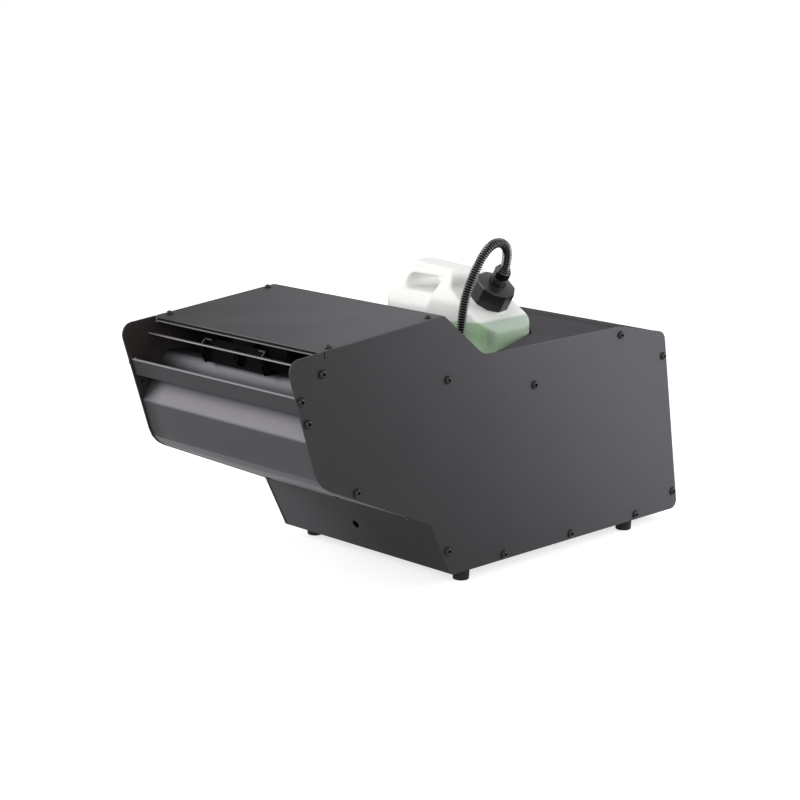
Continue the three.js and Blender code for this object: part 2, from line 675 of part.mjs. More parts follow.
// ---- pick-up hose: route chosen by hand, from the grommet over to the cap fitting
const hoseRoute = [
  [70.5, 72, 206.9], [70.5, 72, 216], [70.9, 72, 230], [72, 72.2, 244], [72.7, 73.2, 256],
  [73, 75, 267.5], [73.6, 77.6, 278], [74.7, 81, 288.4], [75.8, 85.6, 298.5], [76.8, 91.2, 308.5],
  [77.9, 97.8, 318.3], [79.2, 105.6, 326.6], [80.4, 114.6, 331.2], [80.8, 124.2, 330.6],
  [79.7, 132.4, 325.2], [76.9, 137.6, 317.5],
];
const neckOut = (x, out) => {
  const [sin, cos] = [Math.sin(neckTilt), Math.cos(neckTilt)];
  return [x + sin * out, bottleY, bottleBase + shoulderAt(x) + cos * out];
};

function hoseTail() {
  const tube = rod([hoseX, hoseY, tailTop - tailLength], [hoseX, hoseY, tailTop], hoseRadius, 12);
  return cut(tube, rod([hoseX, hoseY, tailTop - tailLength - 1], [hoseX, hoseY, tailTop - 4], lineRadius + 0.7, 10));
}

// ---- bottle: one blow-moulded can with a grip at one end and a tilted neck at the other
function bottleBlank(inset, top) {
  const [a, b] = [bottleHalfLength - inset, bottleHalfDepth - inset];
  const slopeDrop = inset / Math.cos(neckTilt);
  const slope = (x) => shoulderAt(x) - slopeDrop;
  const side = rounded([
    [-a, inset, 6], [a, inset, 6], [a, slope(a), 10], [20, slope(20), 5],
    [13, handleTop - 4 - inset, 7], [-a + 24, handleTop - inset, 12], [-a + 7, handleTop - 21, 16],
    [-a, handleTop - 45, 12],
  ]);
  const taperBase = bottleShoulder + 12;
  const gripBase = handleTop - 7;
  const end = rounded([
    [-b, inset, 6], [b, inset, 6], [b, taperBase, 12], [17 - inset, gripBase, 6],
    [17 - inset, handleTop, 5], [-17 + inset, handleTop, 5], [-17 + inset, gripBase, 6],
    [-b, taperBase, 12],
  ]);
  const plan = alongZ(bottleOutline(-inset), inset, top);
  return plan.intersect(alongY(side, -b, b)).intersect(alongX(end, -a, a));
}

const gripHole = { x: [-54, -2], z: [bottleShoulder + 28, bottleShoulder + 45] };

// The full-depth block that carries the neck: its left flank leans in over the grip's foot.
function neckBlock() {
  const [a, b] = [bottleHalfLength, bottleHalfDepth];
  const top = handleTop - 5;
  const low = bottleShoulder - 20;
  const side = rounded([
    [-16, low], [a, low], [a, shoulderAt(a), 10], [21, shoulderAt(21), 5],
    [18, top, 6], [8, top, 6], [-16, bottleShoulder + 6, 4],
  ]);
  const end = rounded([
    [-b, low], [b, low], [b, bottleShoulder + 24, 14], [25, top + 2, 6], [-25, top + 2, 6],
    [-b, bottleShoulder + 24, 14],
  ]);
  const plan = alongZ(bottleOutline(0), low, top);
  return plan.intersect(alongY(side, -b, b)).intersect(alongX(end, -a, a));
}

function inNeck(solid) {
  const matrix = new THREE.Matrix4().makeRotationY(neckTilt).setPosition(neckX, 0, shoulderAt(neckX));
  return solidOf(geometryOf(solid).applyMatrix4(matrix));
}

const neckHeight = 22;
const capSeat = 3; // from the shoulder to the cap's skirt

function bottle() {
  const collar = rod([0, 0, -6], [0, 0, capSeat - gap], neckRadius + 5, 24, neckRadius + 3);
  const spout = rod([0, 0, -6], [0, 0, neckHeight], neckRadius, 24);
  const [x, z] = [gripHole.x, gripHole.z];
  const grip = alongY(rounded([[x[0], z[0], 7], [x[1], z[0], 7], [x[1], z[1], 7], [x[0], z[1], 7]]), -60, 60);
  const blank = join(bottleBlank(0, handleTop), neckBlock());
  const body = join(cut(blank, grip), inNeck(join(collar, spout)));
  const cavity = bottleBlank(bottleWall, bottleShoulder + 14);
  return cut(body, cavity, inNeck(rod([0, 0, -26], [0, 0, neckHeight + 1], neckRadius - 3, 20)));
}

// The pick-up tube hangs from the cap, bends upright and ends in the filter near the floor.
const fittingFoot = capSeat + capHeight;
const fittingDepth = capWall + gap + 2; // below the cap's top face
const dipOut = fittingFoot - fittingDepth - gap;
const dipTop = [neckX + Math.sin(neckTilt) * dipOut, 0, shoulderAt(neckX) + Math.cos(neckTilt) * dipOut];
const dipRoute = [
  dipTop,
  [neckX, 0, shoulderAt(neckX)],
  [neckX - 12, 0, shoulderAt(neckX) - 22],
  [neckX - 18, 0, shoulderAt(neckX) - 48],
  [neckX - 19, 0, shoulderAt(neckX) - 90],
  [neckX - 19, 0, 30],
];
const filterX = neckX - 19;
const riseRoom = 3.6; // room for the line to lift when the cap is unscrewed

function fluid() {
  const body = bottleBlank(bottleWall + gap, fluidLevel);
  const channel = line([...dipRoute.slice(0, 5), [filterX, 0, 22]], lineRadius + riseRoom, 10, 14);
  return cut(body, channel, rod([filterX, 0, 8], [filterX, 0, 44], 8 + riseRoom, 14));
}

const dipTube = () => line(dipRoute, lineRadius, 8, 20);

function pickupFilter() {
  const body = rod([filterX, 0, 9], [filterX, 0, 29.7], 8, 14);
  return cut(body, rod([filterX, 0, 5], [filterX, 0, 12], 5, 12));
}

// ---- cap, fitting and gland nut, all on the neck
const fittingRadius = 6.5;

function cap() {
  const shell = rod([0, 0, capSeat], [0, 0, capSeat + capHeight], capRadius, 40);
  const hollow = rod([0, 0, capSeat - 1], [0, 0, capSeat + capHeight - capWall], neckRadius + 1, 24);
  const bore = rod([0, 0, capSeat], [0, 0, capSeat + capHeight + 1], fittingRadius + gap, 16);
  return cut(shell, hollow, bore);
}

function hoseFitting() {
  const z = fittingFoot;
  const stem = rod([0, 0, z - 4], [0, 0, z + 16], fittingRadius, 16);
  const flange = rod([0, 0, z + gap], [0, 0, z + 5], fittingRadius + 3.5, 6);
  const under = rod([0, 0, z - fittingDepth], [0, 0, z - capWall - gap], fittingRadius + 2, 16);
  return join(stem, flange, under);
}

function glandNut() {
  const z = fittingFoot;
  const ring = rod([0, 0, z + 9], [0, 0, z + 17], fittingRadius + 3, 12);
  const collar = rod([0, 0, z + 17 - 0.2], [0, 0, z + 20], fittingRadius + 1.2, 16);
  return cut(join(ring, collar), rod([0, 0, z + 8], [0, 0, z + 16.3], fittingRadius + gap, 16),
    rod([0, 0, z + 8], [0, 0, z + 21], hoseRadius + gap, 14));
}

// ---- rear panel and what is mounted on it; every size here is in the leaning rear frame
const panelBottom = 6;
const panelTop = tailHeight / Math.cos(rearLean) - 6;
const panelFace = -(reveal + sheet + gap); // outer face, inside the cover's drop
const panelBack = panelFace - sheet;
const inlet = { x: 84, z: 42, wide: 28, high: 22 };
const rocker = { x: 84, z: 82, wide: 22, high: 30 };
const fuse = { x: 50, z: 42, radius: 7 };
const dataPorts = [["data_inlet", -18], ["data_outlet", 16]];
const dataZ = 42;
const screen = { x: 44, z: 156, wide: 58, high: 24 };
const buttonRadius = 4;
const buttonTravel = 1.2;
const buttonZ = 124;
const buttonX = [20, 36, 52, 68];
const throughPanel = (x, z, radius, sides = 20) => rod([x, -30, z], [x, 10, z], radius, sides);
const slab = ({ x, z, wide, high }, grow, y0, y1) =>
  box([x - wide / 2 - grow, x + wide / 2 + grow], [y0, y1], [z - high / 2 - grow, z + high / 2 + grow]);

function rearPanel() {
  const panel = box([-half, half], [panelBack, panelFace], [panelBottom, panelTop]);
  const reach = rearScrews.map(([y, z]) => {
    const up = Math.hypot(y - heel[0], z) * Math.cos(Math.atan2(screwInset, Math.hypot(y - heel[0], z)));
    return [-screwInset, up];
  });
  const ears = reach.flatMap(([y, z]) => squareTabs([y, z, Math.PI / 2], panelBack - y + 0.5));
  const openings = [
    slab(inlet, gap, -20, 10), slab(rocker, gap, -20, 10), slab(screen, gap, -20, 10),
    throughPanel(fuse.x, fuse.z, fuse.radius + gap),
    throughPanel(fanX, fanUp, fanSize / 2 - 3, 32),
    ...dataPorts.map(([, x]) => throughPanel(x, dataZ, 11.6, 20)),
    ...buttonX.map((x) => throughPanel(x, buttonZ, buttonRadius + gap, 16)),
  ];
  return cut(join(panel, ...ears), ...openings);
}

const faceOut = panelFace + gap; // seat of what stands on the outer face

function powerInlet() {
  const bezel = slab(inlet, 3, faceOut, faceOut + 2);
  const body = slab(inlet, 0, panelBack - 18, faceOut + 1);
  const socket = slab(inlet, -3, panelBack - 12, faceOut + 5);
  return cut(join(bezel, body), socket);
}

function switchHousing() {
  const bezel = slab(rocker, 2, faceOut, faceOut + 1.6);
  const body = slab(rocker, 0, panelBack - 16, faceOut + 1);
  const well = slab(rocker, -2, panelBack - 8, faceOut + 5);
  return cut(join(bezel, body), well);
}

const rockerPivotY = panelBack - 1.5;
const rockerThrow = THREE.MathUtils.degToRad(14);

// At rest the upper half of the rocker is pressed in.
function switchRocker() {
  const reach = rocker.high / 2 - 3;
  const paddle = rounded([[-reach, -2], [reach, -2], [reach - 0.5, 4.2], [0, 2], [-reach + 0.5, 4.2]]);
  const flipped = paddle.map((p) => new THREE.Vector2(p.y, p.x));
  const body = alongX(flipped.reverse(), rocker.x - rocker.wide / 2 + 2.6, rocker.x + rocker.wide / 2 - 2.6);
  const matrix = new THREE.Matrix4()
    .makeRotationX(rockerThrow / 2)
    .setPosition(0, rockerPivotY, rocker.z);
  return solidOf(geometryOf(body).applyMatrix4(matrix));
}

const fuseHole = fuse.radius - 2.2;

function fuseHolder() {
  const body = rod([fuse.x, panelBack - 22, fuse.z], [fuse.x, faceOut + 1, fuse.z], fuse.radius, 18);
  const rim = rod([fuse.x, faceOut, fuse.z], [fuse.x, faceOut + 2, fuse.z], fuse.radius + 2, 18);
  return cut(join(body, rim), rod([fuse.x, faceOut - 12, fuse.z], [fuse.x, faceOut + 3, fuse.z], fuseHole, 16));
}

function fuseCap() {
  const y = faceOut + 2 + gap;
  const head = rod([fuse.x, y, fuse.z], [fuse.x, y + 4, fuse.z], fuse.radius - 0.6, 14);
  const stem = rod([fuse.x, y - 9, fuse.z], [fuse.x, y + 1, fuse.z], fuseHole - gap, 14);
  return cut(join(head, stem), box([fuse.x - 4.5, fuse.x + 4.5], [y + 2.8, y + 6], [fuse.z - 0.7, fuse.z + 0.7]));
}

function dataPort(x, hollow) {
  const flange = slab({ x, z: dataZ, wide: 26, high: 31 }, 0, faceOut, faceOut + 1.8);
  const barrel = rod([x, panelBack - 20, dataZ], [x, faceOut + 1, dataZ], 11.2, 20);
  const body = join(flange, barrel);
  return hollow ? cut(body, rod([x, panelBack - 12, dataZ], [x, faceOut + 5, dataZ], 8, 18)) : body;
}

const displayWindow = () =>
  join(slab(screen, 0, panelBack - 4, faceOut + 0.2), slab(screen, 2, faceOut, faceOut + 1.2));

function button(x) {
  const stem = rod([x, panelBack - 4, buttonZ], [x, faceOut + 2.2, buttonZ], buttonRadius, 16);
  return join(stem, rod([x, panelBack - 4, buttonZ], [x, panelBack - 2.2, buttonZ], buttonRadius + 1.4, 16));
}

// ---- fan inside the rear panel: frame, rotor and guard
const fanDepth = 25;
const fanFront = panelBack - gap;
const fanHub = 15;
const fanBlades = 7;

function fanFrame() {
  const h = fanSize / 2;
  const outline = rounded([[-h, -h, 5], [h, -h, 5], [h, h, 5], [-h, h, 5]])
    .map((p) => new THREE.Vector2(p.x + fanX, p.y + fanUp));
  const tunnel = throughFan(h - 3, fanFront - fanDepth - 1, fanFront + 1, 32);
  const ring = cut(alongY(outline, fanFront - fanDepth, fanFront), tunnel);
  const spokes = [0, 1, 2, 3].map((i) => {
    const angle = (Math.PI / 2) * i + 0.5;
    const end = [fanX + Math.cos(angle) * h, fanFront - fanDepth + 2, fanUp + Math.sin(angle) * h];
    return rod([fanX, fanFront - fanDepth + 2, fanUp], end, 2, 6);
  });
  return join(ring, throughFan(fanHub - 2, fanFront - fanDepth, fanFront - fanDepth + 4, 20), ...spokes);
}

const throughFan = (radius, y0, y1, sides) => rod([fanX, y0, fanUp], [fanX, y1, fanUp], radius, sides);

function fanRotor() {
  const [y0, y1] = [fanFront - fanDepth + 4 + gap, fanFront - 3];
  const bladeTip = fanSize / 2 - 6;
  const blade = (i) => {
    const matrix = new THREE.Matrix4()
      .makeRotationY((2 * Math.PI * i) / fanBlades)
      .multiply(new THREE.Matrix4().makeTranslation(0, 0, (fanHub + bladeTip) / 2 - 1))
      .multiply(new THREE.Matrix4().makeRotationZ(0.7));
    const solid = placed(new THREE.BoxGeometry(17, 1.4, bladeTip - fanHub + 2), matrix);
    return solidOf(geometryOf(solid).translate(fanX, (y0 + y1) / 2, fanUp));
  };
  return join(throughFan(fanHub, y0, y1, 24), ...Array.from({ length: fanBlades }, (_, i) => blade(i)));
}

function fanGuard() {
  const ring = (radius) => {
    const geometry = new THREE.TorusGeometry(radius, 1, 6, 28);
    geometry.rotateX(Math.PI / 2);
    return solidOf(geometry.translate(fanX, faceOut + 1.2, fanUp));
  };
  const bars = [0.5, 0.5 + Math.PI / 2].map((angle) => {
    const [dx, dz] = [Math.cos(angle) * 39, Math.sin(angle) * 39];
    return rod([fanX - dx, faceOut + 1.2, fanUp - dz], [fanX + dx, faceOut + 1.2, fanUp + dz], 1.1, 6);
  });
  return join(...bars, ring(10), ring(20), ring(30), ring(39));
}

// ---- electronics on the base pan
function controlBoard() {
  const [y0, y1] = [bayRear + 30, baseLength - 40];
  const z = panTop + gap;
  const board = box([-100, 20], [y0, y1], [z + 8, z + 9.6]);
  const posts = [[-94, y0 + 6], [14, y0 + 6], [-94, y1 - 6], [14, y1 - 6]]
    .map(([x, y]) => rod([x, y, z], [x, y, z + 8.5], 3, 8));
  const relay = box([-90, -66], [y0 + 14, y0 + 32], [z + 9, z + 26]);
  const chips = [[-50, 24], [-28, 24]].map(([x, w]) => box([x, x + w / 2], [y0 + 20, y0 + 40], [z + 9, z + 13]));
  const canister = rod([-6, y0 + 30, z + 9], [-6, y0 + 30, z + 32], 9, 16);
  return join(board, ...posts, relay, ...chips, canister);
}

function transformer() {
  const [x, y, z] = [76, bayRear + 56, panTop + gap];
  const feet = box([x - 34, x + 34], [y - 14, y + 14], [z, z + 2]);
  const core = box([x - 25, x + 25], [y - 12, y + 12], [z, z + 42]);
  const winding = box([x - 16, x + 16], [y - 21, y + 21], [z + 8, z + 34]);
  return join(feet, core, winding);
}

// ---------------------------------------------------------------- assembly
piece("side_panel_right", sidePanel(1), paint());
piece("side_panel_left", sidePanel(-1), paint());
piece("top_plate", topPlate(), paint());
piece("top_liner", topLiner(), paint());
piece("louvre_upper", upperLouvre(), paint());
piece("louvre_lower", lowerLouvre(), paint());
piece("belly_panel", bellyPanel(), paint());
piece("lower_front_panel", lowerFrontPanel(), paint());
piece("base_pan", basePan(), paint());
piece("rear_cover", rearCover(), paint());
piece("bay_liner", bayLiner(), paint());
piece("bottle_cradle", bottleCradle(), rubber());
piece("hose_grommet", grommet(), rubber());

[["front", frontFootFromToe], ["rear", baseLength - rearFootFromHeel]].forEach(([end, y]) => {
  [["right", 1], ["left", -1]].forEach(([hand, side]) => {
    const mesh = piece(`foot_${end}_${hand}`, foot(), rubber());
    mesh.position.set(side * (width / 2 - footInset), y, 0);
  });
});

topScrewPlaces.slice(0, 2).forEach((place, i) => {
  const mesh = piece(`top_screw_${["right", "left"][i]}`, screw(5), dark());
  mesh.position.set(...upFromHood(place, gap));
  mesh.rotation.x = hoodTilt;
});
[["right", 1], ["left", -1]].forEach(([hand, side]) => {
  const mesh = piece(`side_screw_${hand}`, screw(5), dark());
  mesh.position.set(side * (width / 2 + gap), ...coverScrew);
  mesh.rotation.y = (side * Math.PI) / 2;
});

piece("heater_block", heaterBlock(), steel());
piece("heater_shelf", heaterShelf(), steel());
piece("heater_saddle_front", saddle(heaterFront + 8), steel());
piece("heater_saddle_rear", saddle(heaterRear - 22), steel());
piece("thermostat", thermostat(), dark());
piece("nozzle", nozzle(), steel());
piece("nozzle_bracket", nozzleBracket(), steel());
piece("pump", pump(), dark());
piece("pump_bracket", pumpBracket(), steel());
piece("pressure_line", line(pressureRoute, lineRadius, 8, 34), milky());
piece("suction_line", line(suctionRoute, lineRadius, 8, 34), milky());
piece("control_board", controlBoard(), tinted(0x1f5a34));
piece("transformer", transformer(), steel());

piece("bottle", bottle(), milky(), bottleStand);
piece("fluid", fluid(), tinted(0x9fc89c), bottleStand);
piece("dip_tube", dipTube(), milky(), bottleStand);
piece("pickup_filter", pickupFilter(), dark(), bottleStand);
piece("cap", cap(), dark(), neck);
piece("hose_fitting", hoseFitting(), dark(), neck);
piece("gland_nut", glandNut(), dark(), neck);
const hoseEnd = [neckOut(neckX, fittingFoot + 23), neckOut(neckX, fittingFoot + 16 + 2 * gap)];
piece("hose", line([...hoseRoute, ...hoseEnd], hoseRadius, 12, 60), dark());
piece("hose_tail", hoseTail(), dark());

piece("rear_panel", rearPanel(), paint(), rear);
piece("power_inlet", powerInlet(), dark(), rear);
piece("switch_housing", switchHousing(), dark(), rear);
piece("switch_rocker", switchRocker(), tinted(0xb02a22), rear);
piece("fuse_holder", fuseHolder(), dark(), rear);
piece("fuse_cap", fuseCap(), dark(), rear);
dataPorts.forEach(([name, x], i) => piece(name, dataPort(x, i === 0), dark(), rear));
piece("display_window", displayWindow(), dark(), rear);
buttonX.forEach((x, i) => piece(`button_${i + 1}`, button(x), tinted(0x3a3b3e), rear));
piece("fan_frame", fanFrame(), dark(), rear);
piece("fan_rotor", fanRotor(), dark(), rear);
piece("fan_guard", fanGuard(), steel(), rear);

// the origin goes under the middle of the whole length
const span = new THREE.Box3().setFromObject(machine, true);
housing.position.y -= (span.min.y + span.max.y) / 2;

export default machine;
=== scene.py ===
"""Fog machine: the finish of the housing, the bottle, the pick-up hose and the controls, as an add-on."""

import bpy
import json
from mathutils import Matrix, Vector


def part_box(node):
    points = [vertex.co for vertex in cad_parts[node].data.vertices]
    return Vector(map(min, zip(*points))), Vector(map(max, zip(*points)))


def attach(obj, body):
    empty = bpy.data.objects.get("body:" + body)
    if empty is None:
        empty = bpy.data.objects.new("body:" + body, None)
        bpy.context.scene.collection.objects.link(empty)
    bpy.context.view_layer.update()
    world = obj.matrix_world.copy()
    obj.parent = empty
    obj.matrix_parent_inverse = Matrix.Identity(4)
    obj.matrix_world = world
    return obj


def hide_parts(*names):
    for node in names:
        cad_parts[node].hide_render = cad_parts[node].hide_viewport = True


bl_info = {
    "name": "Fog machine finish",
    "version": (1, 0, 0),
    "blender": (4, 5, 0),
    "location": "3D View > Sidebar > Fog machine",
    "description": "Builds the finished surfaces of a fog machine round its packed frame",
    "category": "Object",
}

import json
import math

import bmesh
import bpy
from bpy.props import FloatProperty, FloatVectorProperty, IntProperty, PointerProperty
from mathutils import Matrix, Vector

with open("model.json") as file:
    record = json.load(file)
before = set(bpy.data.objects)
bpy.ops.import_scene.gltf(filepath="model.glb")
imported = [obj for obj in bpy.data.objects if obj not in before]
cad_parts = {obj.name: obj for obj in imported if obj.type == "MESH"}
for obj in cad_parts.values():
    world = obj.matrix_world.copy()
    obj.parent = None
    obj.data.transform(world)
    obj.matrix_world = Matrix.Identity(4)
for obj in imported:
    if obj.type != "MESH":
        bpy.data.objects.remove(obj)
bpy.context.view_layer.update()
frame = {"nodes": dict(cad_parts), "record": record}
MM = 0.001

# ---------------------------------------------------------------- places that several pieces share
FOOT_Y = sum(corner.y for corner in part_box("foot_front_right")) / 2
FOOT_SETBACK = 0.030  # from the toe to the middle of a front foot
FOOT_HEIGHT = 0.014
# The toe is the housing's own origin: the front end of the side panels' bottom edge
TOE = Vector((0, FOOT_Y - FOOT_SETBACK, FOOT_HEIGHT))
WIDTH = 0.2625  # over the side panels
BOTTLE_Y = 0.1407  # from the toe back to the middle of the bottle
BOTTLE_BASE = 0.014  # over the toe
BOTTLE_END = 0.083  # from the middle of the bottle to its end
SHOULDER = 0.224  # from the bottle's base to the low end of its shoulder
NECK_X = 0.046
NECK_BACK = 0.037  # from the bottle's end to the neck
NECK_TILT = math.radians(31)
NECK_FOOT = TOE + Vector((NECK_X, BOTTLE_Y, BOTTLE_BASE + SHOULDER + NECK_BACK * math.tan(NECK_TILT)))
NECK = Matrix.Translation(NECK_FOOT) @ Matrix.Rotation(NECK_TILT, 4, "Y")
FLUID_LEVEL = TOE.z + 0.2465
ACROSS = (1, 0, 0)
BACKWARD = (0, 1, 0)
UP = (0, 0, 1)

# Corners of the side panels, as (y, z) in millimetres from the housing's own origin
NOSE = (-225.2, 259.8)
HOOD_REAR = (-12.7, 276.9)
CHIN = (-185.3, 129.3)
KNEE = (-29.6, 60.1)

# The hose from its grommet up to the cap, and the side panels' screws as (y, z), in the same millimetres
HOSE_ROUTE = [
    (70.5, 72, 206.9), (70.5, 72, 216), (70.9, 72, 230), (72, 72.2, 244), (72.7, 73.2, 256),
    (73, 75, 267.5), (73.6, 77.6, 278), (74.7, 81, 288.4), (75.8, 85.6, 298.5), (76.8, 91.2, 308.5),
    (77.9, 97.8, 318.3), (79.2, 105.6, 326.6), (80.4, 114.6, 331.2), (80.8, 124.2, 330.6),
    (79.7, 132.4, 325.2), (76.9, 137.6, 317.5),
]
SIDE_SCREWS = [
    (-179.8, 242.3), (-207.8, 219.1), (-199.0, 196.1), (-134.8, 115.1), (-7.7, 210.0), (123.6, 184.4),
    (264.0, 218.8), (339.0, 184.0), (363.1, 20.9), (297.1, 6.3), (186.6, 6.6), (79.3, 5.9), (-6.4, 27.5),
]


def housing_point(x, y, z):
    """A point given in millimetres from the housing's own origin."""
    return TOE + Vector((x, y, z)) * MM


# ---------------------------------------------------------------- meshes
def link(data, name):
    """Puts a mesh, curve, lamp or camera into the scene as an object."""
    piece = bpy.data.objects.new(name, data)
    bpy.context.scene.collection.objects.link(piece)
    return piece


def mesh_from(bm, name):
    mesh = bpy.data.meshes.new(name)
    bm.to_mesh(mesh)
    bm.free()
    return mesh


def merged_copy(node):
    """A CAD node's shape with its corners merged and its flat faces joined."""
    bm = bmesh.new()
    bm.from_mesh(frame["nodes"][node].data)
    bmesh.ops.remove_doubles(bm, verts=bm.verts, dist=2e-6)
    bmesh.ops.dissolve_limit(
        bm, angle_limit=math.radians(0.6), verts=bm.verts, edges=bm.edges, delimit={"NORMAL"}
    )
    return bm


def shade_smooth(mesh):
    mesh.polygons.foreach_set("use_smooth", [True] * len(mesh.polygons))


def soften(piece, bevel, segments=2, angle=32):
    """Rounds a piece's sharp edges a little and keeps its flats flat."""
    shade_smooth(piece.data)
    edge = piece.modifiers.new("Rounded edges", "BEVEL")
    edge.width = bevel
    edge.segments = segments
    edge.limit_method = "ANGLE"
    edge.angle_limit = math.radians(angle)
    edge.use_clamp_overlap = True
    edge.miter_outer = "MITER_ARC"
    flat = piece.modifiers.new("Flat faces", "WEIGHTED_NORMAL")
    flat.keep_sharp = False
    flat.weight = 80
    piece.data = final_mesh(piece)


def final_mesh(piece):
    """The plain mesh that a piece and its modifiers make; the modifiers are then taken off."""
    graph = bpy.context.evaluated_depsgraph_get()
    done = bpy.data.meshes.new_from_object(piece.evaluated_get(graph), depsgraph=graph)
    piece.modifiers.clear()
    return done


def finish(piece, body, slot, *nodes):
    """Says which body a piece rides on and the CAD nodes it stands in for; its material slot is not used."""
    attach(piece, body)
    if nodes:
        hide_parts(*nodes)


def dressed(node, material, body="chassis", bevel=0.0004, segments=2, angle=32, others=()):
    """A CAD node's shape with softened edges, in place of the node.

    others lists (material, rule): the faces whose normal and centre a rule picks have its material.
    """
    piece = link(mesh_from(merged_copy(node), node + "_finished"), node + "_finished")
    piece.data.materials.clear()
    for item in (material, *(other for other, _ in others)):
        piece.data.materials.append(item)
    for face in piece.data.polygons:
        fits = (k + 1 for k, (_, rule) in enumerate(others) if rule(face.normal, face.center))
        face.material_index = next(fits, 0)
    soften(piece, bevel, segments, angle)
    finish(piece, body, slot_of(node), node)


def slot_of(node):
    return next(s["material_slot"] for s in frame["record"]["subparts"] if s["node"] == node)


def joined(bm, rings):
    """The faces between each ring of corners and the next, ring by ring."""
    bands = []
    for low, high in zip(rings, rings[1:]):
        nexts = [(k + 1) % len(low) for k in range(len(low))]
        bands.append([bm.faces.new((low[k], low[n], high[n], high[k])) for k, n in enumerate(nexts)])
    return bands


# ---------------------------------------------------------------- shader groups and materials
def new_group(name, inputs, outputs, kind="ShaderNodeTree"):
    """An empty node group; inputs lists (label, type, default or None) and outputs (label, type)."""
    group = bpy.data.node_groups.new(name, kind)
    for label, socket_type, value in inputs:
        socket = group.interface.new_socket(label, in_out="INPUT", socket_type=socket_type)
        if value is not None:
            socket.default_value = value
    for label, socket_type in outputs:
        group.interface.new_socket(label, in_out="OUTPUT", socket_type=socket_type)
    start = group.nodes.new("NodeGroupInput")
    end = group.nodes.new("NodeGroupOutput")
    return group, start, end


def add(tree, kind, links=(), **settings):
    """Adds a node; links fill its inputs by name or number with a socket or a value."""
    node = tree.nodes.new(kind)
    for key, value in settings.items():
        setattr(node, key, value)
    for key, value in dict(links).items():
        if isinstance(value, bpy.types.NodeSocket):
            tree.links.new(value, node.inputs[key])
        else:
            node.inputs[key].default_value = value
    return node


def reckon(tree, operation, first, second):
    """What a math node makes of two numbers."""
    return add(tree, "ShaderNodeMath", {0: first, 1: second}, operation=operation).outputs[0]


def ramp(tree, value, near, far, low=0.0, high=1.0, curve="LINEAR"):
    """A number that goes from low to high as the value goes from near to far."""
    links = {"Value": value, "From Min": near, "From Max": far, "To Min": low, "To Max": high}
    return add(tree, "ShaderNodeMapRange", links, interpolation_type=curve).outputs["Result"]


def scaled(tree, color, gain):
    """A colour times a number."""
    return add(tree, "ShaderNodeVectorMath", {0: color, "Scale": gain}, operation="SCALE").outputs["Vector"]


def blend(tree, factor, first, second):
    """A colour between two others."""
    links = {"Factor": factor, "A": first, "B": second}
    return add(tree, "ShaderNodeMix", links, data_type="RGBA").outputs["Result"]


def noise(tree, place, scale, seed, detail, roughness):
    links = {"Vector": place, "Scale": scale, "W": seed, "Detail": detail, "Roughness": roughness}
    return add(tree, "ShaderNodeTexNoise", links, noise_dimensions="4D").outputs["Fac"]


def times(color, gain):
    return tuple(channel * gain for channel in color)


def grain_group():
    """Fine mottling: a pebbled height and a slow change of tone."""
    name = "Moulded grain"
    if name in bpy.data.node_groups:
        return bpy.data.node_groups[name]
    group, start, end = new_group(
        name,
        [("Tone", "NodeSocketColor", None), ("Grain size", "NodeSocketFloat", 0.001),
         ("Mottle", "NodeSocketFloat", 0.06), ("Seed", "NodeSocketFloat", 0.0)],
        [("Color", "NodeSocketColor"), ("Height", "NodeSocketFloat"), ("Wear", "NodeSocketFloat")],
    )
    place = add(group, "ShaderNodeTexCoord").outputs["Object"]
    seed = start.outputs["Seed"]
    fineness = reckon(group, "DIVIDE", 1.0, start.outputs["Grain size"])
    pebble = noise(group, place, fineness, seed, detail=3.0, roughness=0.6)
    slow = noise(group, place, 14.0, seed, detail=4.0, roughness=0.55)
    centred = reckon(group, "SUBTRACT", slow, 0.5)
    swing = reckon(group, "MULTIPLY", centred, start.outputs["Mottle"])
    gain = reckon(group, "ADD", swing, 1.0)
    group.links.new(scaled(group, start.outputs["Tone"], gain), end.inputs["Color"])
    group.links.new(pebble, end.inputs["Height"])
    group.links.new(slow, end.inputs["Wear"])
    return group


def painted_light_group():
    """Painted light and shade: a slow change of tone along a direction, between two places on it."""
    name = "Tone drift"
    if name in bpy.data.node_groups:
        return bpy.data.node_groups[name]
    group, start, end = new_group(
        name,
        [("Tone", "NodeSocketColor", None), ("Along", "NodeSocketVector", None),
         ("From", "NodeSocketFloat", 0.0), ("To", "NodeSocketFloat", 1.0),
         ("Low", "NodeSocketFloat", 1.0), ("High", "NodeSocketFloat", 1.0)],
        [("Color", "NodeSocketColor")],
    )
    place = add(group, "ShaderNodeTexCoord").outputs["Object"]
    run = add(group, "ShaderNodeVectorMath", {0: place, 1: start.outputs["Along"]}, operation="DOT_PRODUCT")
    gain = ramp(group, run.outputs["Value"], start.outputs["From"], start.outputs["To"],
                start.outputs["Low"], start.outputs["High"], "SMOOTHSTEP")
    group.links.new(scaled(group, start.outputs["Tone"], gain), end.inputs["Color"])
    return group


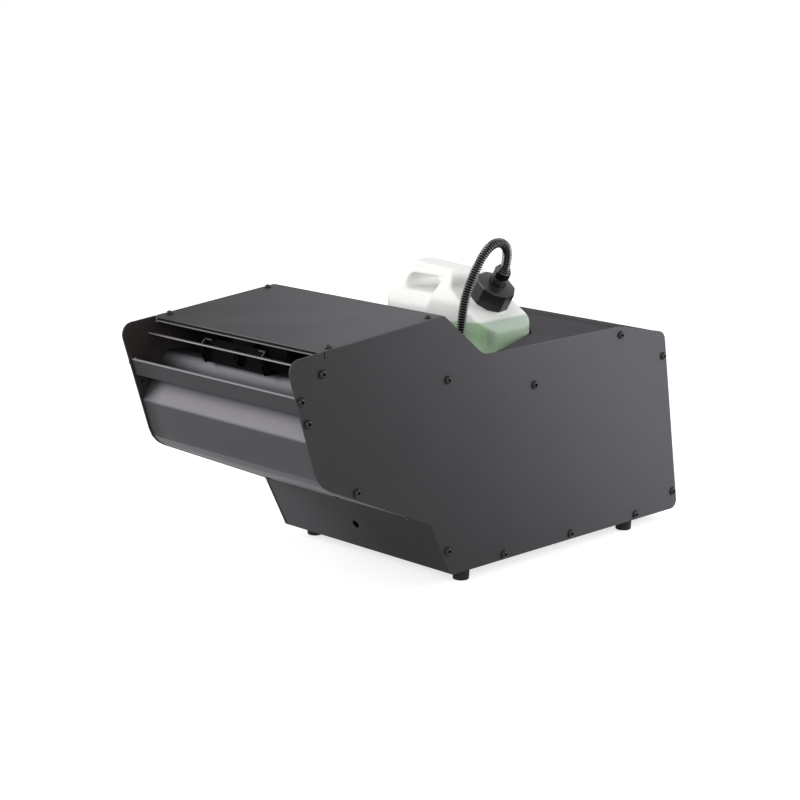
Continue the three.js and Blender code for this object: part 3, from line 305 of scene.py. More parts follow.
def surface(name, color, roughness, grain=0.0012, mottle=0.06, bump=0.15, depth=0.0002, rough_swing=0.08,
            metallic=0.0, specular=0.5, seed=0.0, drifts=(), **sockets):
    """A procedural surface: toned grain in the colour, the roughness and the bump.

    drifts lists (along, near, far, low, high): painted light and shade, where the tone goes from low to high
    between two places along a way.
    """
    if name in bpy.data.materials:
        return bpy.data.materials[name]
    material = bpy.data.materials.new(name)
    material.use_nodes = True
    tree = material.node_tree
    shader = tree.nodes["Principled BSDF"]
    links = {"Tone": (*color, 1), "Grain size": grain, "Mottle": mottle, "Seed": seed}
    grained = add(tree, "ShaderNodeGroup", links, node_tree=grain_group())
    tone = grained.outputs["Color"]
    for along, near, far, low, high in drifts:
        links = {"Tone": tone, "Along": along, "From": near, "To": far, "Low": low, "High": high}
        tone = add(tree, "ShaderNodeGroup", links, node_tree=painted_light_group()).outputs["Color"]
    tree.links.new(tone, shader.inputs["Base Color"])
    uneven = ramp(tree, grained.outputs["Wear"], 0.3, 0.7, roughness - rough_swing / 2,
                  roughness + rough_swing / 2)
    tree.links.new(uneven, shader.inputs["Roughness"])
    links = {"Height": grained.outputs["Height"], "Strength": bump, "Distance": depth}
    relief = add(tree, "ShaderNodeBump", links)
    tree.links.new(relief.outputs["Normal"], shader.inputs["Normal"])
    shader.inputs["Metallic"].default_value = metallic
    shader.inputs["Specular IOR Level"].default_value = specular
    for key, value in sockets.items():
        shader.inputs[key.replace("_", " ")].default_value = value
    return material


def own_tone(material):
    """The colour that a surface's grain gives it."""
    return next(n for n in material.node_tree.nodes if n.type == "GROUP").outputs["Color"]


def powder_coat(name="powder_coat", tone=1.0, drifts=(), specular=0.2):
    look = bpy.context.scene.fog_housing
    return surface(name, times(look.coat, tone), look.gloss, grain=look.grain, mottle=0.1, bump=0.25,
                   depth=0.00012, specular=specular, drifts=drifts)


def lip_highlight_coat(name, tone):
    """Painted highlight along a cut or folded lip."""
    look = bpy.context.scene.fog_housing
    return surface(name, times(look.coat, tone), 0.42, grain=look.grain, mottle=0.1, bump=0.1,
                   depth=0.0001, specular=0.5, seed=1.0)


# Painted shade: a darker, duller coat for faces inside the outlet, turned inward or underneath.
def inner_coat():
    look = bpy.context.scene.fog_housing
    return surface("inner_coat", look.inner_coat, 0.75, grain=look.grain, mottle=0.1, bump=0.25,
                   depth=0.00012, specular=0.12, seed=3.0)


def shaded_coat():
    return surface("shaded_coat", (0.05, 0.042, 0.04), 0.75, grain=0.0009, specular=0.1, seed=3.0)


# Painted shade: near-black for the nozzle and its bracket, deep in the outlet's shade.
def shadow_black():
    return surface("sooted_coat", (0.0035, 0.003, 0.0028), 0.8, grain=0.0012, mottle=0.2, specular=0.04,
                   seed=11.0)


def black_plastic():
    return surface("moulded_black", (0.011, 0.011, 0.0115), 0.34, grain=0.0009, bump=0.12, specular=0.3)


def cap_black():
    """Moulded black with a coarse skin."""
    return surface("cap_black", (0.013, 0.013, 0.0135), 0.33, grain=0.0022, mottle=0.2, bump=0.35,
                   depth=0.0004, rough_swing=0.2, specular=0.35, seed=12.0)


def cap_rim():
    """A painted highlight along the edge of the cap's rim."""
    return surface("cap_rim", (0.06, 0.06, 0.062), 0.34, grain=0.0016, mottle=0.8, specular=0.5)


def gloss_black():
    return surface("gloss_black", (0.005, 0.005, 0.0055), 0.16, grain=0.003, bump=0.15, specular=0.7,
                   seed=13.0)


def hose_black():
    """Shiny ribs, and grooves painted dark and dull as shade; the tube's own groove attribute tells them
    apart.
    """
    name = "corrugated_black"
    if name in bpy.data.materials:
        return bpy.data.materials[name]
    material = surface(name, (0.004, 0.004, 0.0042), 0.2, grain=0.0012, bump=0.05, seed=8.0, IOR=1.8)
    tree = material.node_tree
    shader = tree.nodes["Principled BSDF"]
    marked = add(tree, "ShaderNodeAttribute", attribute_name="groove", attribute_type="GEOMETRY")
    groove = marked.outputs["Fac"]
    # Painted shade: the grooves are darker, and below they get no sheen.
    color = blend(tree, groove, own_tone(material), (0.001, 0.001, 0.001, 1))
    tree.links.new(color, shader.inputs["Base Color"])
    turned = add(tree, "ShaderNodeLayerWeight", {"Blend": 0.5}).outputs["Facing"]
    edge = ramp(tree, turned, 0.05, 0.38, 0.15, 1.0)
    crest = reckon(tree, "SUBTRACT", 1.0, groove)
    shine = reckon(tree, "MULTIPLY", edge, crest)
    tree.links.new(shine, shader.inputs["Specular IOR Level"])
    return material


def satin_black():
    return surface("satin_black", (0.016, 0.016, 0.017), 0.5, grain=0.0006, bump=0.2, specular=0.4, seed=5.0)


def black_rubber():
    return surface("black_rubber", (0.012, 0.012, 0.012), 0.72, grain=0.0007, bump=0.3, specular=0.25,
                   seed=7.0)


def black_steel():
    return surface("blackened_steel", (0.004, 0.004, 0.0045), 0.24, grain=0.0005, bump=0.1, specular=0.28,
                   seed=2.0)


def plain_steel():
    return surface("plain_steel", (0.45, 0.45, 0.46), 0.36, grain=0.0015, mottle=0.15, bump=0.1,
                   metallic=1.0, seed=4.0)


# Painted shade: the heater's parts are near-black, as they lie deep in the shade inside.
def dark_metal():
    return surface("heat_darkened_metal", (0.012, 0.0105, 0.01), 0.7, grain=0.002, mottle=0.3, bump=0.2,
                   specular=0.08, seed=6.0)


def green_fluid():
    return surface("fog_fluid", bpy.context.scene.fog_bottle.fluid, 0.1, grain=0.01, bump=0.0)


def circuit_board():
    return surface("circuit_board", (0.012, 0.06, 0.025), 0.5, grain=0.002, mottle=0.2)


def clear_tube():
    return surface("clear_tube", (0.6, 0.6, 0.56), 0.3, grain=0.002, specular=0.5)


def rocker_red():
    return surface("rocker_red", (0.42, 0.03, 0.025), 0.3, grain=0.001, bump=0.05)


def smoked_window():
    return surface("smoked_window", (0.012, 0.015, 0.016), 0.12, grain=0.002, bump=0.0, rough_swing=0.03)


def button_grey():
    return surface("button_grey", (0.06, 0.062, 0.066), 0.45, grain=0.0008, bump=0.15)


# ---------------------------------------------------------------- sizes and colours
class FogHousing(bpy.types.PropertyGroup):
    coat: FloatVectorProperty(name="Coat", description="Colour of the powder coat", subtype="COLOR",
                              default=(0.038, 0.036, 0.0402), min=0, max=1)
    # The colour of the painted shade inside the outlet.
    inner_coat: FloatVectorProperty(name="Inner shade", description="Colour inside the outlet",
                                    subtype="COLOR", default=(0.025, 0.0208, 0.02), min=0, max=1)
    gloss: FloatProperty(name="Roughness", description="Roughness of the powder coat", default=0.58, min=0,
                         max=1)
    grain: FloatProperty(name="Grain", description="Size of the coat's grain", default=0.0009, min=0.0001,
                         max=0.01, unit="LENGTH", precision=4)
    edge: FloatProperty(name="Edge", description="Rounding of the sheet's edges", default=0.00045, min=0,
                        max=0.003, unit="LENGTH", precision=5)


class FogScrews(bpy.types.PropertyGroup):
    head: FloatProperty(name="Head", description="Radius of a button head", default=0.0046, min=0.001,
                        max=0.01, unit="LENGTH", precision=4)
    height: FloatProperty(name="Height", description="Height of a button head", default=0.0034, min=0.001,
                          max=0.01, unit="LENGTH", precision=4)
    socket: FloatProperty(name="Socket", description="Across the flats of the hex socket", default=0.003,
                          min=0.001, max=0.006, unit="LENGTH", precision=4)
    seed: IntProperty(name="Seed", description="Turns each screw its own way", default=4, min=0)


class FogBottle(bpy.types.PropertyGroup):
    plastic: FloatVectorProperty(name="Plastic", description="Colour of the bottle", subtype="COLOR",
                                 default=(0.86, 0.87, 0.84), min=0, max=1)
    fluid: FloatVectorProperty(name="Fluid", description="Colour of the fluid through the wall",
                               subtype="COLOR", default=(0.37, 0.545, 0.34), min=0, max=1)
    # The end's fluid colour is painted shade: a darker copy of the fluid.
    end_shade: FloatVectorProperty(name="End shade", subtype="COLOR", default=(0.3, 0.4, 0.292), min=0, max=1,
                                  description="Colour of the fluid painted darker as shade on the end")
    # The lit band is a painted highlight on the end, just under the level.
    lit_band: FloatVectorProperty(name="Lit fluid band", subtype="COLOR", default=(0.43, 0.515, 0.445), min=0,
                                 max=1, description="Colour of the end wall just under the level")


class FogHose(bpy.types.PropertyGroup):
    diameter: FloatProperty(name="Diameter", description="Outside diameter of the hose", default=0.0094,
                            min=0.002, max=0.03, unit="LENGTH", precision=4)
    rib: FloatProperty(name="Rib", description="How far the ribs stand out past half the diameter",
                       default=0.0006, min=0, max=0.01, unit="LENGTH", precision=5)
    pitch: FloatProperty(name="Rib pitch", description="Distance from rib to rib", default=0.00266,
                         min=0.001, max=0.01, unit="LENGTH", precision=4)
    depth: FloatProperty(name="Rib depth", description="Depth of the groove between ribs", default=0.0013,
                         min=0, max=0.005, unit="LENGTH", precision=4)


class FogStage(bpy.types.PropertyGroup):
    backdrop: FloatProperty(name="Backdrop", description="Brightness of the background", default=1.0, min=0,
                            max=2)
    glow: FloatProperty(name="Floor glow", description="Brightness of the floor in the shadow", default=0.71,
                        min=0, max=2)
    fill: FloatProperty(name="Fill", description="Light from all round", default=0.23, min=0, max=3)
    key: FloatProperty(name="Key", description="Power of the lamp at the left", default=33.0, min=0, max=900,
                       unit="POWER")
    rim: FloatProperty(name="Rim", description="Power of the lamp behind", default=5.0, min=0, max=900,
                       unit="POWER")
    front: FloatProperty(name="Front", description="Power of the lamp at the right, in front", default=11.0,
                         min=0, max=900, unit="POWER")
    top: FloatProperty(name="Top", description="Power of the lamp overhead", default=10.0, min=0, max=900,
                       unit="POWER")


# ---------------------------------------------------------------- stage
LENS = 96.91
SENSOR_WIDTH = 36.0
CAMERA_PLACE = Vector((1.6334, -1.5368, 0.6874))  # from the toe
CAMERA_AIM = Vector((-0.698, 0.679, -0.2265))
LAMPS = (  # name, place, what it is aimed at, and its two sides
    ("key", (-1.35, -1.6, 1.05), (0, -0.15, 0.2), (1.2, 1.0)),
    ("front", (1.25, -1.25, 0.75), (0.05, 0, 0.2), (1.0, 1.0)),
    ("top", (0.1, -0.1, 1.7), (0.02, 0.02, 0.2), (1.5, 1.5)),
    ("rim", (0.72, 0.62, 0.42), (0.1, 0.1, 0.15), (0.5, 0.5)),
)


def aimed(obj, place, target):
    obj.location = place
    obj.rotation_euler = (Vector(target) - Vector(place)).to_track_quat("-Z", "Y").to_euler()


def area_lamp(name, place, target, size, power):
    light = bpy.data.lights.new(name, "AREA")
    light.shape = "RECTANGLE"
    light.size, light.size_y = size
    light.energy = power
    aimed(link(light, name), place, target)


def seen_directly(tree):
    """1 for a camera, glossy or transmission ray, and 0 for a diffuse one."""
    rays = add(tree, "ShaderNodeLightPath").outputs
    seen = reckon(tree, "MAXIMUM", rays["Is Camera Ray"], rays["Is Glossy Ray"])
    return reckon(tree, "MAXIMUM", seen, rays["Is Transmission Ray"])


def pale_floor(look):
    """A floor that glows where it is seen directly, and less in the middle, where the shadow lies."""
    material = bpy.data.materials.new("pale_floor")
    material.use_nodes = True
    tree = material.node_tree
    shader = tree.nodes["Principled BSDF"]
    shader.inputs["Base Color"].default_value = (0.6, 0.6, 0.6, 1)
    shader.inputs["Roughness"].default_value = 0.9
    shader.inputs["Specular IOR Level"].default_value = 0.1
    place = add(tree, "ShaderNodeTexCoord").outputs["Object"]
    away = add(tree, "ShaderNodeVectorMath", {0: place}, operation="LENGTH").outputs["Value"]
    level = ramp(tree, away, 0.7, 1.8, look.glow, look.backdrop)
    glow = reckon(tree, "MULTIPLY", seen_directly(tree), level)
    shader.inputs["Emission Color"].default_value = (1, 1, 1, 1)
    tree.links.new(glow, shader.inputs["Emission Strength"])
    return material


def pale_world(look):
    """Light from all round, as bright as the backdrop only where it is seen directly."""
    world = bpy.data.worlds.new("World")
    world.use_nodes = True
    sky = world.node_tree
    back = sky.nodes["Background"]
    back.inputs["Color"].default_value = (1, 1, 1, 1)
    level = ramp(sky, seen_directly(sky), 0.0, 1.0, look.fill, look.backdrop)
    sky.links.new(level, back.inputs["Strength"])
    return world


class FOG_OT_camera(bpy.types.Operator):
    """Place the camera in front of the outlet's right-hand corner"""

    bl_idname = "fog_machine.camera"
    bl_label = "Camera"

    def execute(self, context):
        data = bpy.data.cameras.new("Camera")
        data.lens = LENS
        data.sensor_width = SENSOR_WIDTH
        data.clip_end = 50.0
        camera = link(data, "Camera")
        place = TOE + CAMERA_PLACE
        aimed(camera, place, place + CAMERA_AIM)
        context.scene.camera = camera
        return {"FINISHED"}


class FOG_OT_stage(bpy.types.Operator):
    """Lay the floor and hang the lamps"""

    bl_idname = "fog_machine.stage"
    bl_label = "Stage"

    def execute(self, context):
        look = context.scene.fog_stage
        bm = bmesh.new()
        bmesh.ops.create_grid(bm, x_segments=1, y_segments=1, size=6.0)
        floor = link(mesh_from(bm, "floor"), "floor")
        floor.data.materials.append(pale_floor(look))
        context.scene.world = pale_world(look)
        for name, place, target, size in LAMPS:
            area_lamp(name, place, target, size, getattr(look, name))
        context.scene.view_settings.view_transform = "Standard"
        return {"FINISHED"}


# ---------------------------------------------------------------- hose
TUBE_SIDES = 20


def smooth_route(points, per_span=8):
    """Points along a smooth line through the given ones."""
    ends = [points[0] * 2 - points[1], *points, points[-1] * 2 - points[-2]]
    out = []
    for a, b, c, d in zip(ends, ends[1:], ends[2:], ends[3:]):
        knots = [0.0]
        for u, v in ((a, b), (b, c), (c, d)):
            knots.append(knots[-1] + max((v - u).length, 1e-9) ** 0.5)
        for k in range(per_span):
            t = knots[1] + (knots[2] - knots[1]) * k / per_span
            rows = [a, b, c, d]
            for level in (1, 2, 3):
                rows = [
                    (rows[i] * (knots[i + level] - t) + rows[i + 1] * (t - knots[i]))
                    / (knots[i + level] - knots[i])
                    for i in range(len(rows) - 1)
                ]
            out.append(rows[0])
    out.append(points[-1])
    return out


def ribbed_tube_tree():
    """Geometry nodes: a ribbed tube along a curve, with its rib pitch, radius and groove as inputs."""
    name = "Ribbed tube"
    if name in bpy.data.node_groups:
        return bpy.data.node_groups[name]
    tree, start, end = new_group(
        name,
        [("Line", "NodeSocketGeometry", None), ("Radius", "NodeSocketFloat", 0.005),
         ("Groove", "NodeSocketFloat", 0.001), ("Pitch", "NodeSocketFloat", 0.003),
         ("Sides", "NodeSocketInt", TUBE_SIDES), ("Finish", "NodeSocketMaterial", None)],
        [("Tube", "NodeSocketGeometry")],
        "GeometryNodeTree",
    )
    points_a_rib = 4.0  # two on its crest and two in the groove
    step = reckon(tree, "DIVIDE", start.outputs["Pitch"], points_a_rib)
    links = {"Curve": start.outputs["Line"], "Length": step}
    evened = add(tree, "GeometryNodeResampleCurve", links, mode="LENGTH")
    index = add(tree, "GeometryNodeInputIndex").outputs[0]
    turn = reckon(tree, "MODULO", index, points_a_rib)
    groove = reckon(tree, "GREATER_THAN", turn, 1.5)
    cut = reckon(tree, "MULTIPLY", groove, start.outputs["Groove"])
    radius = reckon(tree, "SUBTRACT", start.outputs["Radius"], cut)
    links = {"Resolution": start.outputs["Sides"], "Radius": 1.0}
    ring = add(tree, "GeometryNodeCurvePrimitiveCircle", links)
    links = {"Geometry": evened.outputs[0], "Name": "groove", "Value": groove}
    marked = add(tree, "GeometryNodeStoreNamedAttribute", links, data_type="FLOAT", domain="POINT")
    tube = add(tree, "GeometryNodeCurveToMesh", {
        "Curve": marked.outputs[0], "Profile Curve": ring.outputs[0], "Scale": radius, "Fill Caps": True})
    smooth = add(tree, "GeometryNodeSetShadeSmooth", {"Geometry": tube.outputs[0]})
    real = add(tree, "GeometryNodeRealizeInstances", {"Geometry": smooth.outputs[0]})
    links = {"Geometry": real.outputs[0], "Material": start.outputs["Finish"]}
    done = add(tree, "GeometryNodeSetMaterial", links)
    tree.links.new(done.outputs[0], end.inputs["Tube"])
    return tree


def input_id(tree, label):
    return next(s.identifier for s in tree.interface.items_tree if s.in_out == "INPUT" and s.name == label)


def with_tree(piece, tree, values):
    """The plain mesh that a geometry nodes tree makes of a piece, with the tree's inputs filled."""
    modifier = piece.modifiers.new(tree.name, "NODES")
    modifier.node_group = tree
    for label, value in values.items():
        modifier[input_id(tree, label)] = value
    return final_mesh(piece)


def polyline(points, name):
    curve = bpy.data.curves.new(name, "CURVE")
    curve.dimensions = "3D"
    spline = curve.splines.new("POLY")
    spline.points.add(len(points) - 1)
    for point, place in zip(spline.points, points):
        point.co = (*place, 1)
    return link(curve, name)


def ribbed_tube(points, name, radius):
    """A ribbed tube along points, with the hose's own pitch and depth of groove."""
    look = bpy.context.scene.fog_hose
    line = polyline(points, name + "_line")
    mesh = with_tree(line, ribbed_tube_tree(), {
        "Radius": radius, "Groove": look.depth, "Pitch": look.pitch, "Sides": TUBE_SIDES,
        "Finish": hose_black()})
    bpy.data.objects.remove(line)
    mesh.name = name
    return link(mesh, name)


def hose_line():
    """The hose's smooth route, from the grommet over to the fitting."""
    into_fitting = (50, 43.6)  # millimetres out along the neck
    points = [housing_point(*place) for place in HOSE_ROUTE]
    points += [NECK @ Vector((0, 0, out * MM)) for out in into_fitting]
    return smooth_route(points)


def tail_line(steps=40):
    """The straight route of the hose's tail, below the grommet."""
    low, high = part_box("hose_tail")
    middle = (low + high) / 2
    return [Vector((middle.x, middle.y, low.z + (high.z - low.z) * k / steps)) for k in range(steps + 1)]


class FOG_OT_hose(bpy.types.Operator):
    """Make the ribbed pick-up hose between the bay and the cap, and its tail in the bay"""

    bl_idname = "fog_machine.hose"
    bl_label = "Pick-up hose"

    def execute(self, context):
        look = context.scene.fog_hose
        route = hose_line()
        hose = ribbed_tube(route, "hose_ribbed", look.diameter / 2 + look.rib)
        finish(hose, "pickup", "hose_black", "hose")
        tail = ribbed_tube(tail_line(), "hose_tail_ribbed", look.diameter / 2)
        finish(tail, "bottle_body", "hose_black", "hose_tail")
        return {"FINISHED"}


# ---------------------------------------------------------------- housing
def side_coat():
    """Both side panels are painted dark along the front and lighter up and back: painted shade and light."""
    up_and_back = (0, 0.81, 0.59)
    start = TOE.y * 0.81
    return powder_coat("coat_sides", 1.0, [(up_and_back, start - 0.02, start + 0.36, 0.58, 2.05)])


def hood_coat():
    """The hood is painted dark at its front left corner and lighter back and to the right: painted shade and
    light.
    """
    back_and_right = (0.6, 0.8, 0)
    start = TOE.y * 0.8
    return powder_coat("coat_hood", 1.0, [(back_and_right, start - 0.24, start + 0.06, 0.4, 2.1)], 0.13)


def belly_coat():
    """The ramp in the outlet has bands of painted highlight and painted shade, and its left end is painted
    dark as the left panel's shadow.
    """
    bands = (  # two heights over the toe's, and the coat's gain at each
        (0.1745, 0.179, 1.0, 4.45),  # painted highlight from the fold up
        (0.193, 0.2, 1.0, 0.17),  # painted shade in the middle
        (0.211, 0.2205, 1.0, 5.1),  # painted highlight again
        (0.2205, 0.2262, 1.0, 0.18),  # painted shade at the top
    )
    drifts = [(UP, TOE.z + near, TOE.z + far, low, high) for near, far, low, high in bands]
    return powder_coat("coat_belly", 1.3, [*drifts, (ACROSS, -0.129, -0.1, 0.3, 1.0)])


def forward(normal, centre):
    """A sheet's front edge, away from its ends, where a highlight is painted."""
    return normal.y < -0.9 and abs(centre.x) < 0.12


# underneath, endways, facing_left and facing_right pick the faces that get the painted shade.
def underneath(normal, centre):
    return normal.z < -0.5


def endways(normal, centre):
    return abs(normal.x) > 0.9


def facing_left(normal, centre):
    return normal.x < -0.9


def facing_right(normal, centre):
    return normal.x > 0.9


def chin_faces(normal, centre):
    """The belly's rounded chin and its sloping underside, where a highlight is painted."""
    return normal.z < -0.45


def louvre_lip(normal, centre):
    """The lower louvre's folded lip, which looks forward and up, where a highlight is painted."""
    return normal.y < 0.15 and 0.1 < normal.z < 0.97


def bracket_lip(normal, centre):
    """The nozzle bracket's upper front edges, where a highlight is painted."""
    near_top = TOE.z + 0.2465
    return normal.y < -0.3 and centre.z > near_top


def coats():
    """Each sheet's coat, and the other coats on some of its faces: painted shade on faces inside and
    underneath, and painted highlights on lips and the chin.
    """
    sides = side_coat()
    inside = inner_coat()
    # Painted shade: the lower louvre's front is a darker copy of the coat, darkest at its left end.
    front = powder_coat("coat_front", 0.75, [(ACROSS, -0.125, -0.07, 0.4, 1.0)])
    # Painted highlight: the chin is a much lighter copy of the coat, lightest at the left.
    chin = powder_coat("coat_chin", 2.8, [(ACROSS, -0.12, 0.12, 1.2, 0.8)])
    # Painted shade: the lower front panel darkens towards the right.
    low = powder_coat("coat_low", 1.35, [(ACROSS, -0.12, 0.06, 1.0, 0.1)])
    # Painted light and shade: the deck is lighter at the front and darker at the back.
    deck = powder_coat("coat_deck", 1.0, [(BACKWARD, 0.16, 0.21, 1.5, 0.3)], 0.02)
    return [
        ("side_panel_right", sides, [(inside, facing_left)]),
        ("side_panel_left", sides, [(inside, facing_right)]),
        ("top_plate", hood_coat(), [(lip_highlight_coat("coat_hood_lip", 1.3), forward), (inside, underneath)]),
        ("top_liner", shaded_coat(), [(lip_highlight_coat("coat_liner_lip", 3.1), forward)]),
        ("louvre_upper", inside, [(lip_highlight_coat("coat_blade_lip", 6.5), forward)]),
        ("louvre_lower", front, [(lip_highlight_coat("coat_louvre_lip", 2.7), louvre_lip), (inside, endways)]),
        ("belly_panel", belly_coat(), [(inside, endways), (chin, chin_faces)]),
        ("lower_front_panel", low, []),
        ("base_pan", powder_coat("coat_pan", 0.75), []),
        ("rear_cover", deck, [(inside, underneath)]),
        ("rear_panel", powder_coat(), []),
        ("bay_liner", inside, []),
        ("nozzle_bracket", shadow_black(), [(lip_highlight_coat("coat_bracket_lip", 0.8), bracket_lip)]),
    ]


class FOG_OT_housing(bpy.types.Operator):
    """Coat the housing's folded sheets and soften their edges"""

    bl_idname = "fog_machine.housing"
    bl_label = "Housing"

    def execute(self, context):
        look = context.scene.fog_housing
        for node, coat, others in coats():
            dressed(node, coat, bevel=look.edge, others=others)
        return {"FINISHED"}


# ---------------------------------------------------------------- screws
def screws_tree():
    """Geometry nodes: a screw on each point, square to its facing, each turned its own way."""
    name = "Screws on points"
    if name in bpy.data.node_groups:
        return bpy.data.node_groups[name]
    tree, start, end = new_group(
        name,
        [("Places", "NodeSocketGeometry", None), ("Screw", "NodeSocketObject", None),
         ("Seed", "NodeSocketInt", None), ("Finish", "NodeSocketMaterial", None)],
        [("Screws", "NodeSocketGeometry")],
        "GeometryNodeTree",
    )
    screw = add(tree, "GeometryNodeObjectInfo", {"Object": start.outputs["Screw"]})
    facing = add(tree, "GeometryNodeInputNamedAttribute", {"Name": "facing"}, data_type="FLOAT_VECTOR")
    links = {"Vector": facing.outputs["Attribute"]}
    upright = add(tree, "FunctionNodeAlignRotationToVector", links, axis="Z")
    spin = add(tree, "FunctionNodeRandomValue", {"Seed": start.outputs["Seed"]}, data_type="FLOAT")
    spin.inputs[2].default_value = 0.0
    spin.inputs[3].default_value = math.pi * 2
    about = add(tree, "FunctionNodeAxisAngleToRotation", {"Axis": UP, "Angle": spin.outputs[1]})
    links = {"Rotation": upright.outputs[0], "Rotate By": about.outputs[0]}
    turned = add(tree, "FunctionNodeRotateRotation", links, rotation_space="LOCAL")
    spread = add(tree, "GeometryNodeInstanceOnPoints", {
        "Points": start.outputs["Places"], "Instance": screw.outputs["Geometry"],
        "Rotation": turned.outputs[0]})
    real = add(tree, "GeometryNodeRealizeInstances", {"Geometry": spread.outputs[0]})
    links = {"Geometry": real.outputs[0], "Material": start.outputs["Finish"]}
    done = add(tree, "GeometryNodeSetMaterial", links)
    tree.links.new(done.outputs[0], end.inputs["Screws"])
    return tree


def button_head(radius, height, flats):
    """One button-head screw with a hex socket, standing on its seat."""
    sides = 24
    corner = flats / math.sqrt(3)  # from the socket's middle to its corners
    bm = bmesh.new()

    def ring(r, z, corners=False):
        out = []
        for k in range(sides):
            angle = 2 * math.pi * k / sides
            reach = r
            if corners:
                off = (angle + math.pi / 6) % (math.pi / 3) - math.pi / 6
                reach = r * math.cos(math.pi / 6) / math.cos(off)
            out.append(bm.verts.new((reach * math.cos(angle), reach * math.sin(angle), z)))
        return out

    rings = [
        ring(radius * 0.97, 0), ring(radius, height * 0.16), ring(radius * 0.985, height * 0.34),
        ring(radius * 0.86, height * 0.66), ring(radius * 0.66, height * 0.9), ring(radius * 0.48, height),
        ring(corner * 1.06, height, True), ring(corner, height * 0.93, True),
        ring(corner, height * 0.35, True),
    ]
    joined(bm, rings)
    bm.faces.new(rings[-1])
    bm.faces.new(list(reversed(rings[0])))
    bmesh.ops.recalc_face_normals(bm, faces=bm.faces)
    mesh = mesh_from(bm, "button_head")
    shade_smooth(mesh)
    mesh.set_sharp_from_angle(angle=math.radians(40))
    return mesh


def screws_at(places, name, template, *nodes):
    """Screws at (point, facing) places as one piece."""
    mesh = bpy.data.meshes.new(name)
    mesh.from_pydata([p for p, _ in places], [], [])
    facing = mesh.attributes.new("facing", "FLOAT_VECTOR", "POINT")
    for item, (_, way) in zip(facing.data, places):
        item.vector = way
    seat = link(mesh, name + "_places")
    done = with_tree(seat, screws_tree(), {
        "Screw": template, "Seed": bpy.context.scene.fog_screws.seed, "Finish": black_steel()})
    bpy.data.objects.remove(seat)
    finish(link(done, name), "chassis", "screw_black", *nodes)


def side_places(side):
    """Round a side panel: side is 1 for the right one and -1 for the left one."""
    return [(housing_point(side * WIDTH / 2 / MM, y, z), (side, 0, 0)) for y, z in SIDE_SCREWS]


def hood_places():
    """Two rows of two along the hood's slope."""
    tilt = math.atan((HOOD_REAR[1] - NOSE[1]) / (HOOD_REAR[0] - NOSE[0]))
    facing = (0, -math.sin(tilt), math.cos(tilt))
    rows = (-164.4, -28.7)
    from_middle = 123.25
    return [
        (housing_point(x, y, NOSE[1] + math.tan(tilt) * (y - NOSE[0])), facing)
        for y in rows
        for x in (from_middle, -from_middle)
    ]


def belly_places():
    """A row of three under the belly, in front of its knee."""
    fall = math.atan2(CHIN[1] - KNEE[1], KNEE[0] - CHIN[0])
    facing = (0, -math.sin(fall), -math.cos(fall))
    apart = 110.25
    from_knee = 15
    sunk = 0.45  # how far the seats lie in the sheet
    y = KNEE[0] - from_knee * math.cos(fall)
    z = KNEE[1] + from_knee * math.sin(fall) + sunk
    return [(housing_point(x, y, z), facing) for x in (-apart, 0, apart)]


class FOG_OT_screws(bpy.types.Operator):
    """Set the button-head screws round the side panels, on the hood and under the belly"""

    bl_idname = "fog_machine.screws"
    bl_label = "Screws"

    def execute(self, context):
        look = context.scene.fog_screws
        full = link(button_head(look.head, look.height, look.socket), "screw_template")
        lesser = button_head(look.head * 0.8, look.height * 0.95, look.socket * 0.85)
        lesser = link(lesser, "hood_screw_template")
        small = link(button_head(radius=0.0032, height=0.0022, flats=0.002), "small_screw_template")
        screws_at(side_places(1), "side_screws_right", full, "side_screw_right")
        screws_at(side_places(-1), "side_screws_left", full, "side_screw_left")
        screws_at(hood_places(), "hood_screws", lesser, "top_screw_right", "top_screw_left")
        screws_at(belly_places(), "belly_screws", small)
        for template in (full, lesser, small):
            bpy.data.objects.remove(template)
        return {"FINISHED"}


